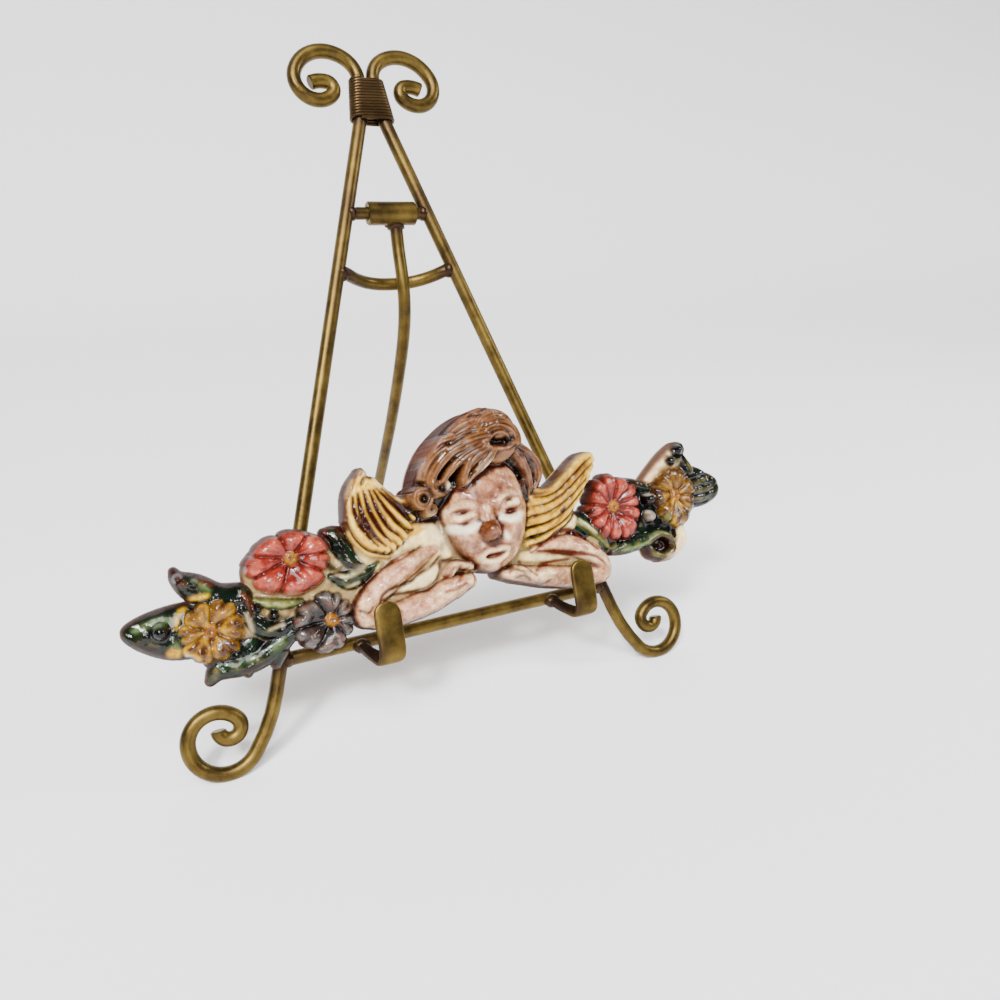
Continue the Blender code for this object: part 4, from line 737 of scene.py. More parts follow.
class Relief:
    """Height, depth inside the outline and glaze of every grid point."""

    def __init__(self):
        self.us = np.arange(-131.4, 150.6, STEP)
        self.vs = np.arange(-5.0, 91.5, STEP)
        self.grid_u, self.grid_v = np.meshgrid(self.us, self.vs, indexing="ij")
        self.height = np.zeros(self.grid_u.shape)
        self.depth = np.full(self.grid_u.shape, OUTSIDE)
        self.glaze = np.zeros(self.grid_u.shape, int)
        self.tint = np.zeros(self.grid_u.shape + (3,))
        self.tint_share = np.zeros(self.grid_u.shape)

    def window(self, path):
        """Slices of the grid that hold a path and its radius."""
        reach = path[:, 2].max() + 1.5
        slices = []
        for axis, line in ((0, self.us), (1, self.vs)):
            low = np.searchsorted(line, path[:, axis].min() - reach)
            high = np.searchsorted(line, path[:, axis].max() + reach)
            slices.append(slice(max(low, 0), max(high, 1)))
        return tuple(slices)

    def trace(self, path):
        """Window, depth inside, share of the radius, last value, offset across and run along a path."""
        path = curve_through(path)
        win = self.window(path)
        grid_u, grid_v = self.grid_u[win], self.grid_v[win]
        depth = np.full(grid_u.shape, OUTSIDE)
        radius, value, across, along = (np.zeros(grid_u.shape) for _ in range(4))
        travelled = 0.0
        for start, end in zip(path[:-1], path[1:]):
            run = end[:2] - start[:2]
            length = max(math.hypot(*run), 1e-6)
            travel = (grid_u - start[0]) * run[0] + (grid_v - start[1]) * run[1]
            share = np.clip(travel / length ** 2, 0, 1)
            near_u, near_v = grid_u - start[0] - share * run[0], grid_v - start[1] - share * run[1]
            here = start[2] + share * (end[2] - start[2])
            inside = here - np.hypot(near_u, near_v)
            better = inside > depth
            depth = np.where(better, inside, depth)
            radius = np.where(better, here, radius)
            value = np.where(better, start[-1] + share * (end[-1] - start[-1]), value)
            across = np.where(better, (near_v * run[0] - near_u * run[1]) / length, across)
            along = np.where(better, travelled + share * length, along)
            travelled += length
        return win, depth, depth / np.maximum(radius, 1e-6), value, across, along

    def lay(self, win, inside, rise, glaze):
        """Put a shape on top wherever it is higher than what is there."""
        higher = (inside > 0) & (rise > self.height[win])
        self.height[win] = np.where(higher, rise, self.height[win])
        self.depth[win] = np.maximum(self.depth[win], inside)
        self.glaze[win] = np.where(higher, GLAZE_NAMES.index(glaze), self.glaze[win])
        self.tint_share[win] = np.where(higher, 0.0, self.tint_share[win])
        return higher

    def dye(self, win, where, colour, amount):
        """Second colour, and how much of it shows, in part of a window."""
        self.tint[win] = np.where(where[..., None], colour, self.tint[win])
        self.tint_share[win] = np.where(where, amount, self.tint_share[win])

    def tube(self, glaze, path, base=EDGE):
        """Half-round rod or leaf."""
        win, depth, share, crest, _, _ = self.trace(path)
        self.lay(win, depth, base + (crest - base) * dome(share), glaze)

    def lock(self, glaze, path, seed):
        """Rounded lock of hair with fine dark and light lines along it."""
        win, depth, share, crest, across, along = self.trace(path)
        comb = np.cos(across * 2 * math.pi / LINE_GAP + 0.9 * np.sin(along * 0.35 + seed) + seed)
        rise = crest - LOCK_RISE + LOCK_RISE * dome(share) + LINE_RISE * comb * smoothstep(0.0, 0.3, share)
        higher = self.lay(win, depth, rise, glaze)
        colour = np.where((comb > 0)[..., None], HAIR_LIGHT, HAIR_DARK)
        fading = 0.75 + 0.25 * np.sin(along * 0.6 + across)
        self.dye(win, higher, colour, np.where(comb > 0, 0.45, 0.95) * np.abs(comb) * fading)

    def feather(self, glaze, path):
        """Flat blade with steep rounded sides."""
        win, depth, share, crest, _, _ = self.trace(path)
        blade = dome(np.clip(share * 1.7, 0, 1))
        self.lay(win, depth, crest - FEATHER_RISE + FEATHER_RISE * blade, glaze)

    def flower(self, glaze, centre, radii, middle, petals, turn, height, button, split, ribs):
        """Ring of cupped petals round a button."""
        reach = max(radii) + 1
        corners = [(centre[0] + way * reach, centre[1] + way * reach, 0) for way in (-1, 1)]
        win = self.window(np.array(corners))
        du = (self.grid_u[win] - centre[0]) / radii[0]
        dv = (self.grid_v[win] - centre[1]) / radii[1]
        reach = np.hypot(du, dv)
        # Petals point away from the button, which may sit off centre
        to_u = (self.grid_u[win] - middle[0]) / radii[0]
        to_v = (self.grid_v[win] - middle[1]) / radii[1]
        angle = np.arctan2(to_v, to_u) - math.radians(turn)
        angle = angle + 0.10 * np.sin(2 * angle + petals) + 0.07 * np.sin(3 * angle + turn)
        turns = angle * petals / (2 * math.pi)
        petal = np.round(turns)
        offset = (turns - petal) * 2
        wave = np.clip(1 - offset ** 2, 0, 1)
        jitter = np.sin(petal * 2.4 + petals) * 0.05
        cleft = np.exp(-(offset / 0.20) ** 2)
        rim = 0.84 + jitter + 0.16 * wave ** 0.45 - split * 0.10 * cleft
        share = reach / rim
        depth = (1.0 - share) * min(radii)
        profile = dome(np.clip((1.0 - share) * 2.6, 0, 1)) * (0.58 + 0.42 * smoothstep(0.15, 0.72, share))
        cup = 0.50 + 0.50 * wave ** 0.42
        cup -= split * 0.26 * cleft * smoothstep(0.45, 0.8, share)
        cup += 0.07 * np.sin(petal * 3.7 + 1.0)
        rise = EDGE + 2.0 + (height - EDGE - 2.0) * profile * np.clip(cup, 0.05, 1.1)
        if ribs:
            rise += 0.30 * np.cos(offset * math.pi * ribs) * smoothstep(0.25, 0.55, share) * wave
        self.lay(win, depth, np.where(depth > 0, rise, 0.0), glaze)
        here = (depth > 0) & (self.glaze[win] == GLAZE_NAMES.index(glaze))
        colour, amount = petal_colour(glaze, petal, share, wave, cleft)
        self.dye(win, here, colour, np.clip(amount, 0, 1))
        self.add_button(win, np.hypot(to_u * radii[0], to_v * radii[1]), angle, button)

    def add_button(self, win, away, angle, height):
        """Domed button with a dimple in its middle and notches round it."""
        knob = height * dome(1.0 - away / BUTTON_RADIUS) - 2.2 * np.exp(-(away / 1.2) ** 2)
        knob += 0.35 * np.cos(angle * 9) * smoothstep(1.4, 2.6, away)
        higher = self.lay(win, BUTTON_RADIUS - away, np.where(away < BUTTON_RADIUS, knob, 0.0), "button")
        ring = 0.9 * np.exp(-((away - 1.4) / 0.6) ** 2)
        ring += smoothstep(2.9, 3.9, away) * (0.6 + 0.4 * np.cos(angle * 9))
        self.dye(win, higher, tone(70, 30, 12), np.clip(ring, 0, 1) * 0.8)

    def face(self):
        """Oval dome that narrows to the chin."""
        (cu, cv), half, down, up = FACE
        wide = half * (1.0 - CHIN_TAPER * np.clip(cv + 3.0 - self.grid_v, 0.0, None))
        tall = np.where(self.grid_v < cv, down, up)
        off_u, off_v = np.abs((self.grid_u - cu) / wide), np.abs((self.grid_v - cv) / tall)
        reach = (off_u ** FACE_OVAL + off_v ** FACE_OVAL) ** (1 / FACE_OVAL)
        rise = np.clip(1.0 - reach ** ROUNDNESS, 0.0, 1.0) ** (1 / ROUNDNESS)
        rise = np.where(reach < 1.0, EDGE + (FACE_HEIGHT - EDGE) * rise, 0.0)
        self.lay((slice(None), slice(None)), (1.0 - reach) * half, rise, "skin")

    def swell(self, path):
        """Soft bump or dip added to what is there."""
        win, depth, share, rise, _, _ = self.trace(path)
        self.height[win] += rise * np.clip(1.0 - (1.0 - share) ** 2, 0.0, 1.0) ** 2 * (depth > 0)


def fan(first, middle, last, count):
    """Paths spread evenly from the first feather through the middle one to the last."""
    first, middle, last = (np.array(path, float) for path in (first, middle, last))
    paths = []
    for s in np.linspace(0, 1, count):
        paths.append(first * (1 - s) * (1 - 2 * s) + middle * 4 * s * (1 - s) + last * s * (2 * s - 1))
    return paths


def curl(centre, radii, thick, height, first, sweep):
    """Path round an oval, as thick and as high all the way."""
    angles = np.radians(first + np.linspace(0.0, sweep, 9))
    us = centre[0] + radii[0] * np.cos(angles)
    vs = centre[1] + radii[1] * np.sin(angles)
    return [(u, v, thick, height) for u, v in zip(us, vs)]


def unevenness(relief):
    """Slight waves in every direction, as in clay pressed by hand."""
    rng = np.random.default_rng(7)
    waves = np.zeros(relief.height.shape)
    for _ in range(26):
        turn, phase = rng.uniform(0, 2 * math.pi, 2)
        length = rng.uniform(2.4, 8.0)
        run = relief.grid_u * math.cos(turn) + relief.grid_v * math.sin(turn)
        waves += 0.007 * length * np.sin(run * 2 * math.pi / length + phase)
    return waves


def sculpt():
    relief = Relief()
    for glaze, path in SHAPES:
        relief.tube(glaze, path)
    for knob in KNOBS:
        relief.tube("knob", (knob,))
    relief.face()
    for glaze, *guides in FANS:
        for path in fan(*guides):
            relief.feather(glaze, path)
    for row in FLOWERS:
        relief.flower(*row)
    inside = relief.depth > 0
    for path in SWELLINGS:
        relief.swell(path)
    relief.tube("skin", NOSE, base=NOSE_BASE)
    for number, (glaze, path) in enumerate(LOCKS):
        relief.lock(glaze, path, number * 1.7)
    for (centre_u, centre_v), radii, _, height, _, _ in CURLS:
        relief.lock("hair", ((centre_u, centre_v, max(radii), height - 1.3),), 0.0)
    for number, row in enumerate(CURLS):
        relief.lock("hair", curl(*row), number * 2.3)
    for path in DIPS:
        relief.swell(path)
    for _, _, cut, paths in LINES:
        for path in paths:
            relief.swell([(u, v, r * 1.7 + 0.2, -cut) for u, v, r in path])
    relief.height += unevenness(relief)
    weight = np.maximum(blur(inside.astype(float), 0.32), 1e-3)
    relief.height = np.where(inside, blur(relief.height * inside, 0.32) / weight, 0.0)
    relief.height -= EDGE_ROUND * (1.0 - dome(relief.depth / EDGE_ROUND / 1.4))
    relief.height = np.maximum(relief.height, EDGE - EDGE_ROUND)
    return relief


def brush(relief, paint, colour, amount, soft, path):
    win, depth, *_ = relief.trace([(u, v, r + soft, 0.0) for u, v, r in path])
    share = smoothstep(0.0, 2 * soft, depth) * amount
    paint[win] = paint[win] + (colour - paint[win]) * share[..., None]
    return win, share


def colours(relief):
    """Glaze colour and strength of the mottling at every grid point."""
    inside = relief.depth > 0
    hollows = []
    for reach in (0.7, 2.2):
        weight = np.maximum(blur(inside.astype(float), reach), 1e-3)
        hollows.append(blur(relief.height * inside, reach) / weight - relief.height)
    hollow = np.maximum(hollows[0] * 1.9, hollows[1])
    ridge_level = np.maximum(-hollows[0] * 1.9, -hollows[1])
    table = [GLAZES[name] for name in GLAZE_NAMES]
    body, ridge, wash = (np.array([row[n] for row in table])[relief.glaze] for n in range(3))
    strength, mottle = (np.array([row[n] for row in table])[relief.glaze] for n in (3, 4))
    body = body + (relief.tint - body) * relief.tint_share[..., None]
    ridge_share = smoothstep(0.1, 1.1, ridge_level) * (1 - relief.tint_share)
    paint = body + (ridge - body) * ridge_share[..., None] * 0.8
    for colour, amount, soft, paths in STROKES:
        for path in paths:
            win, share = brush(relief, paint, colour, amount, soft, path)
            if colour[0] > 0.8:
                mottle[win] = mottle[win] * (1 - 0.8 * share)
    paint = paint + (wash - paint) * (smoothstep(0.10, 0.85, hollow) * strength)[..., None]
    for colour, amount, _, paths in LINES:
        for path in paths:
            brush(relief, paint, colour, amount, 0.35, path)
    edge = smoothstep(2.0, 0.4, relief.depth)[..., None] * 0.8
    paint = paint + (tone(98, 50, 30) - paint) * edge
    paint = np.clip(paint, 0.0, 1.0) ** DEPTH_OF_COLOUR
    return blur(paint, 0.25), blur(mottle, 0.6)


def reachable(open_cells, start):
    """Every cell of a mask that can be walked to from a start mask."""
    found = start & open_cells
    while True:
        grown = found.copy()
        grown[1:, :] |= found[:-1, :]
        grown[:-1, :] |= found[1:, :]
        grown[:, 1:] |= found[:, :-1]
        grown[:, :-1] |= found[:, 1:]
        grown &= open_cells
        if (grown == found).all():
            return found
        found = grown


def one_outline(depth):
    """Fill pockets in the outline and drop crumbs outside it."""
    border = np.zeros(depth.shape, bool)
    border[0, :] = border[-1, :] = border[:, 0] = border[:, -1] = True
    outside = reachable(depth <= 0, border)
    depth = np.where((depth <= 0) & ~outside, 0.3, depth)
    middle = depth == depth.max()
    body = reachable(depth > 0, middle)
    return np.where((depth > 0) & ~body, -0.3, depth)


def front_skin(relief):
    """Points, colours, gloss and faces of the front, cut exactly at the outline."""
    paint, mottle = colours(relief)
    us, vs, depth = relief.us, relief.vs, relief.depth
    shiny = 0.3 + 0.7 * smoothstep(0.4, 2.4, depth)
    spots, looks, gloss, index = [], [], [], {}

    def corner(i, j):
        if (i, j) not in index:
            index[(i, j)] = len(spots)
            spots.append((us[i], vs[j], relief.height[i, j]))
            looks.append((*paint[i, j], mottle[i, j]))
            gloss.append(shiny[i, j])
        return index[(i, j)]

    def edge(a, b):
        key = (a, b) if a < b else (b, a)
        if key not in index:
            (i, j), (k, m) = key
            share = min(max(depth[i, j] / (depth[i, j] - depth[k, m]), 0.03), 0.97)
            inner = (i, j) if depth[i, j] > 0 else (k, m)
            index[key] = len(spots)
            cut_u, cut_v = us[i] + (us[k] - us[i]) * share, vs[j] + (vs[m] - vs[j]) * share
            spots.append((cut_u, cut_v, EDGE - EDGE_ROUND))
            looks.append((*paint[inner], mottle[inner]))
            gloss.append(shiny[inner])
        return index[key]

    fronts = []
    filled = depth > 0
    cells = filled[:-1, :-1] | filled[1:, :-1] | filled[1:, 1:] | filled[:-1, 1:]
    for i, j in np.argwhere(cells).tolist():
        ring = ((i, j), (i + 1, j), (i + 1, j + 1), (i, j + 1))
        loop = []
        for here, there in zip(ring, ring[1:] + ring[:1]):
            if filled[here]:
                loop.append(corner(*here))
            if filled[here] != filled[there]:
                loop.append(edge(here, there))
        if len(loop) > 2:
            fronts.append(tuple(loop))
    return spots, looks, gloss, fronts


def border(fronts):
    """Points round the open edge of the front, in order."""
    sides = {(a, b) for loop in fronts for a, b in zip(loop, loop[1:] + loop[:1])}
    rim = {a: b for a, b in sides if (b, a) not in sides}
    start = min(rim)
    outline = [start]
    while rim[outline[-1]] != start:
        outline.append(rim[outline[-1]])
    assert len(outline) == len(rim), "the outline has more than one loop"
    return outline


def plaque_mesh():
    relief = sculpt()
    relief.depth = one_outline(relief.depth)
    spots, looks, gloss, fronts = front_skin(relief)
    outline = border(fronts)
    count = len(spots)
    order = {vertex: count + number for number, vertex in enumerate(outline)}
    walls = [(b, a, order[a], order[b]) for a, b in zip(outline, outline[1:] + outline[:1])]
    back = [tuple(order[a] for a in reversed(outline))]
    points = [(u, v, BACK_W - h) for u, v, h in spots]
    points += [(spots[a][0], spots[a][1], BACK_W) for a in outline]
    clay = (*tone(206, 178, 146), 0.2)
    looks += [clay] * len(outline)
    gloss += [0.0] * len(outline)
    mesh = bpy.data.meshes.new("plaque_relief")
    mesh.from_pydata(inside_box(points).tolist(), [], fronts + walls + back)
    tint = mesh.attributes.new("glaze", "FLOAT_COLOR", "POINT")
    tint.data.foreach_set("color", np.array(looks, np.float32).ravel())
    shine = mesh.attributes.new("gloss", "FLOAT", "POINT")
    shine.data.foreach_set("value", np.array(gloss, np.float32))
    for face in mesh.polygons:
        face.use_smooth = len(face.vertices) < 7 and face.index < len(fronts)
    return placed("plaque_relief", mesh)


def placed(name, data):
    """Object of some data, linked into the scene."""
    obj = bpy.data.objects.new(name, data)
    bpy.context.scene.collection.objects.link(obj)
    return obj


def feed(tree, socket, value):
    """Give an input a value, or another node's output."""
    if isinstance(value, bpy.types.NodeSocket):
        tree.links.new(value, socket)
    else:
        socket.default_value = value


def node(tree, kind, **inputs):
    made = tree.nodes.new(kind)
    for name, value in inputs.items():
        feed(tree, made.inputs[name.replace("_", " ")], value)
    return made


def noise(tree, where, scale, detail, roughness=0.5):
    made = node(tree, "ShaderNodeTexNoise", Vector=where, Scale=scale, Detail=detail, Roughness=roughness)
    return made.outputs[0]


def attribute(tree, name):
    made = tree.nodes.new("ShaderNodeAttribute")
    made.attribute_name = name
    return made


def new_material(name):
    mat = bpy.data.materials.new(name)
    mat.use_nodes = True
    tree = mat.node_tree
    return mat, tree, tree.nodes["Principled BSDF"]


def mix_colour(tree, factor, first, second, blend="MIX"):
    made = tree.nodes.new("ShaderNodeMix")
    made.data_type = "RGBA"
    made.blend_type = blend
    for place, value in ((0, factor), (6, first), (7, second)):
        feed(tree, made.inputs[place], value)
    return made.outputs[2]


def ramp(tree, value, stops):
    made = tree.nodes.new("ShaderNodeValToRGB")
    tree.links.new(value, made.inputs[0])
    elements = made.color_ramp.elements
    while len(elements) < len(stops):
        elements.new(0.5)
    for element, (position, colour) in zip(elements, stops):
        element.position = position
        element.color = (*colour, 1.0)
    return made.outputs[0]


def glaze_material():
    mat, tree, shader = new_material("glazed_majolica")
    where = tree.nodes.new("ShaderNodeTexCoord").outputs["Object"]
    tint = attribute(tree, "glaze")
    shine = attribute(tree, "gloss")
    clouds = noise(tree, where, 210.0, 9.0, 0.74)
    grain = noise(tree, where, 620.0, 3.0, 0.6)
    specks = node(tree, "ShaderNodeTexVoronoi", Vector=where, Scale=420.0)
    patchy = ramp(tree, clouds, (
        (0.34, (0.38, 0.28, 0.26)), (0.46, (0.70, 0.62, 0.59)),
        (0.54, (1.0, 0.97, 0.94)), (0.64, (1.36, 1.42, 1.40))))
    tinted = mix_colour(tree, tint.outputs["Alpha"], tint.outputs["Color"], patchy, "MULTIPLY")
    fine = ramp(tree, grain, (
        (0.30, (0.80, 0.76, 0.74)), (0.55, (1.0, 1.0, 1.0)), (0.75, (1.06, 1.05, 1.04))))
    tinted = mix_colour(tree, 0.8, tinted, fine, "MULTIPLY")
    pits = ramp(tree, specks.outputs["Distance"], (
        (0.0, (0.45, 0.32, 0.25)), (0.07, (1.0, 1.0, 1.0)), (1.0, (1.0, 1.0, 1.0))))
    tinted = mix_colour(tree, 0.55, tinted, pits, "MULTIPLY")
    feed(tree, shader.inputs["Base Color"], tinted)
    rough = node(tree, "ShaderNodeMapRange", Value=shine.outputs["Fac"], To_Min=0.8, To_Max=0.11)
    feed(tree, shader.inputs["Roughness"], rough.outputs[0])
    height = noise(tree, where, 260.0, 4.0, 0.55)
    bump = node(tree, "ShaderNodeBump", Strength=0.28, Distance=0.0012, Height=height)
    feed(tree, shader.inputs["Normal"], bump.outputs[0])
    shader.inputs["IOR"].default_value = 1.46
    shader.inputs["Specular IOR Level"].default_value = 0.34
    shader.inputs["Coat Weight"].default_value = 0.1
    shader.inputs["Coat Roughness"].default_value = 0.05
    return mat


def brass_material(name, dark=0.0):
    mat, tree, shader = new_material(name)
    where = tree.nodes.new("ShaderNodeTexCoord").outputs["Object"]
    stain = attribute(tree, "stain")
    clouds = noise(tree, where, 90.0, 5.0, 0.6)
    grain = noise(tree, where, 900.0, 2.0)
    metal = ramp(tree, clouds, (
        (0.30, tone(50, 38, 15)), (0.50, tone(86, 68, 27)), (0.72, tone(112, 91, 40))))
    shade = mix_colour(tree, stain.outputs["Fac"], metal, (*tone(48, 32, 22), 1.0))
    if dark:
        shade = mix_colour(tree, dark, shade, (*tone(58, 40, 26), 1.0))
    feed(tree, shader.inputs["Base Color"], shade)
    shader.inputs["Metallic"].default_value = 0.85
    rough = node(
        tree, "ShaderNodeMapRange", Value=clouds,
        From_Min=0.3, From_Max=0.7, To_Min=0.30, To_Max=0.46)
    feed(tree, shader.inputs["Roughness"], rough.outputs[0])
    bump = node(tree, "ShaderNodeBump", Strength=0.12, Distance=0.0004, Height=grain)
    feed(tree, shader.inputs["Normal"], bump.outputs[0])
    return mat


def add_piece(name, points, faces, mat, body, replaced, stains=()):
    """Mesh piece that rides on a body. Each stain is a (u, v, reach) where the metal is dark."""
    mesh = bpy.data.meshes.new(name)
    mesh.from_pydata(inside_box(points).tolist(), [], faces)
    mesh.shade_smooth()
    mesh.set_sharp_from_angle(angle=math.radians(40))
    points = np.asarray(points, float)
    amount = np.zeros(len(points))
    for u, v, reach in stains:
        away = np.hypot(points[:, 0] - u, points[:, 1] - v) / reach
        amount = np.maximum(amount, smoothstep(1.0, 0.2, away))
    stain = mesh.attributes.new("stain", "FLOAT", "POINT")
    stain.data.foreach_set("value", amount.astype(np.float32))
    mesh.materials.append(mat)
    obj = placed(name, mesh)
    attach(obj, body)
    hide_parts(*replaced)


def loft(rings, closed=False):
    """Points and faces of equal rings joined in order."""
    sides = len(rings[0])
    count = len(rings)
    faces = []
    for ring in range(count if closed else count - 1):
        following = (ring + 1) % count
        for side in range(sides):
            beside = (side + 1) % sides
            low, high = ring * sides, following * sides
            faces.append((low + beside, low + side, high + side, high + beside))
    if not closed:
        faces.append(tuple(range(sides)))
        faces.append(tuple(reversed(range((count - 1) * sides, count * sides))))
    return np.concatenate(rings), faces


def sweep(path, radius, sides=20, chamfer=0.5, cuts=(None, None)):
    """Rings of a rod along a path, with slightly rounded ends."""
    path = np.asarray(path, float)
    heading = np.gradient(path, axis=0)
    heading /= np.linalg.norm(heading, axis=1)[:, None]
    across = np.cross(heading[0], (0.0, 0.0, 1.0))
    if np.linalg.norm(across) < 0.1:
        across = np.cross(heading[0], (0.0, 1.0, 0.0))
    angles = np.arange(sides) * 2 * math.pi / sides
    rings = []
    for centre, ahead in zip(path, heading):
        across = across - ahead * np.dot(across, ahead)
        across /= np.linalg.norm(across)
        side = np.cross(ahead, across)
        rings.append((centre, np.outer(np.cos(angles), across) + np.outer(np.sin(angles), side), ahead))
    made = [centre + radius * circle for centre, circle, _ in rings]
    for place, cut in ((0, cuts[0]), (-1, cuts[1])):
        if cut is not None:
            made[place][:, 0] = cut(made[place][:, 1])
        elif chamfer:
            centre, circle, ahead = rings[place]
            inward = ahead * chamfer * (1 if place == 0 else -1)
            tip = [centre + circle * (radius - chamfer)]
            made[place] = centre + inward + radius * circle
            made = tip + made if place == 0 else made + tip
    return loft(made)


def half_width(v):
    return BAR_HALF - TAPER * v


def arc_path(start, heading, arcs, turn, step=6.0):
    """Points along arcs that follow one another, each (radius, degrees)."""
    point = np.array(start, float)
    points = [point]
    for radius, degrees in arcs:
        count = max(3, round(degrees / step))
        part = math.radians(degrees) / count
        for _ in range(count):
            middle = heading + turn * part / 2
            chord = 2 * radius * math.sin(part / 2)
            point = point + chord * np.array((math.cos(middle), math.sin(middle)))
            heading += turn * part
            points.append(point)
    return points


# Arcs of the scrolls, each (radius, degrees)
TOP_ARCS = ((10.4, 60.6), (15.3, 102.8), (9.0, 160.8), (3.3, 123.3), (11.8, 36.6))
FOOT_ARCS = ((65.7, 20.9), (13.3, 146.3), (10.7, 134.9), (4.7, 75.7), (4.2, 146.1))


def side_rod_path():
    slope = math.atan2(1.0, -TAPER)
    foot = arc_path((half_width(-12.0), -12.0), slope - math.pi, FOOT_ARCS, 1)
    neck = (NECK_U, 240.0)
    lean = math.atan2(neck[1] - NECK_V, neck[0] - half_width(NECK_V))
    top = arc_path(neck, lean, TOP_ARCS, -1)
    straight = [(half_width(v), v) for v in np.linspace(0.0, NECK_V - 3.0, 14)]
    path = foot[::-1] + straight + [(half_width(NECK_V) - 0.1, NECK_V + 0.6)] + top
    return np.array([(u, v, 0.0) for u, v in path])


def flatten_feet(points):
    """Ground flat where the rod stands."""
    shifted = world(points)
    low = shifted[:, 2] < 0
    shifted[low, 2] = 0.0
    back = shifted * 1000 + ORIGIN
    v = back[:, 1] * math.sin(LEAN) + back[:, 2] * math.cos(LEAN)
    w = back[:, 1] * math.cos(LEAN) - back[:, 2] * math.sin(LEAN)
    return np.stack([back[:, 0], v, w], axis=1)


def neck_coil():
    """Wire wound round both rods, close turns from the bottom to the top."""
    wire = 0.68
    turns = 14
    around = 44
    path = []
    for step in range(turns * around + 1):
        turn = step / around
        share = turn / turns
        v = NECK_V + 0.7 + (WRAP_TOP - NECK_V - 1.4) * share
        separation = half_width(NECK_V) * (1 - share) + NECK_U * share
        # Walk round a stadium: two straight runs and two half circles
        radius = ROD + wire + 0.1
        straight, bend = 2 * separation, math.pi * radius
        travel = (turn % 1.0) * (2 * straight + 2 * bend)
        if travel < straight:
            u, w = -separation + travel, -radius
        elif travel < straight + bend:
            a = (travel - straight) / radius - math.pi / 2
            u, w = separation + radius * math.cos(a), radius * math.sin(a)
        elif travel < 2 * straight + bend:
            u, w = separation - (travel - straight - bend), radius
        else:
            a = (travel - 2 * straight - bend) / radius + math.pi / 2
            u, w = -separation + radius * math.cos(a), radius * math.sin(a)
        path.append((u, v, w))
    return sweep(path, wire, sides=8, chamfer=0.2)


def welded(points, faces, beads):
    """A rod with uneven beads of weld metal round its joints, each (centre, size)."""
    for number, (centre, size) in enumerate(beads):
        blob, more = bead(centre, size, number)
        faces = faces + [tuple(corner + len(points) for corner in face) for face in more]
        points = np.concatenate([points, blob])
    return points, faces


def bead(centre, size, seed):
    rng = np.random.default_rng(seed)
    rows, sides = 9, 14
    rings = []
    for row in range(rows):
        lift = math.pi * (row + 0.5) / rows
        angles = np.arange(sides) * 2 * math.pi / sides
        bumps = 1 + 0.06 * rng.standard_normal(sides)
        ring = np.stack([
            np.cos(angles) * math.sin(lift) * size[0] * bumps,
            np.full(sides, -math.cos(lift) * size[1]),
            np.sin(angles) * math.sin(lift) * size[2] * bumps], axis=1)
        rings.append(ring + centre)
    return loft(rings)


# Stations of a hook from its weld to its tip: u, v, w, half width, half thickness
HOOK_SHAPE = (
    (0.0, -1.4, -5.7, 2.0, 2.0),
    (1.2, -3.4, -9.0, 2.4, 1.9),
    (3.6, -5.6, -13.5, 3.4, 1.6),
    (6.2, -7.2, -17.2, 4.8, 1.4),
    (7.6, -6.6, -19.3, 5.3, 1.3),
    (8.2, -3.5, -20.2, 5.5, 1.25),
    (8.4, 2.0, -20.3, 5.5, 1.25),
    (8.5, 11.0, -20.1, 5.5, 1.25),
    (8.5, 14.2, -20.0, 4.7, 1.25),
    (8.5, 15.9, -20.0, 3.1, 1.2),
    (8.5, 16.5, -20.0, 1.2, 1.0),
)


def hook(offset):
    stations = curve_through(np.array(HOOK_SHAPE), 4)
    centres = stations[:, :3] + (offset, 0.0, 0.0)
    heading = np.gradient(centres, axis=0)
    heading[:, 0] = 0.0
    heading /= np.linalg.norm(heading, axis=1)[:, None]
    sides = 28
    angles = (np.arange(sides) + 0.5) * 2 * math.pi / sides
    across = np.sign(np.cos(angles)) * np.abs(np.cos(angles)) ** 0.5
    through = np.sign(np.sin(angles)) * np.abs(np.sin(angles)) ** 0.5
    rings = []
    for centre, ahead, half, thick in zip(centres, heading, stations[:, 3], stations[:, 4]):
        normal = np.cross(ahead, (1.0, 0.0, 0.0))
        rings.append(centre + np.outer(across * half, (1, 0, 0)) + np.outer(through * thick, normal))
    points, faces = loft(rings)
    return points, [tuple(reversed(face)) for face in faces]


def cross_rod(path, radius, v, shift, size):
    """Rod across the uprights, its ends cut to their slope and welded to them with a bead each."""
    slack = (ROD + ROD_GAP) * math.hypot(1.0, TAPER)

    def right(at):
        return half_width(at) - slack

    def left(at):
        return -right(at)

    points, faces = sweep(path, radius, cuts=(left, right))
    inset, up, back = shift
    beads = [((side * (half_width(v) - inset), v + up, back), size) for side in (-1, 1)]
    return welded(points, faces, beads)


def uprights(brass):
    path = side_rod_path()
    for name, side in (("right", 1.0), ("left", -1.0)):
        points, faces = sweep(path * (side, 1.0, 1.0), ROD)
        welds = ((0.0, 9), (HINGE_V, 8), (BOW_V, 7), (NECK_V, 6))
        stains = [(side * half_width(v), v, reach) for v, reach in welds]
        nodes = [part + "_" + name for part in ("side_rod", "foot_scroll", "top_scroll")]
        add_piece("side_wire_" + name, flatten_feet(points), faces, brass, "stand", nodes, stains)


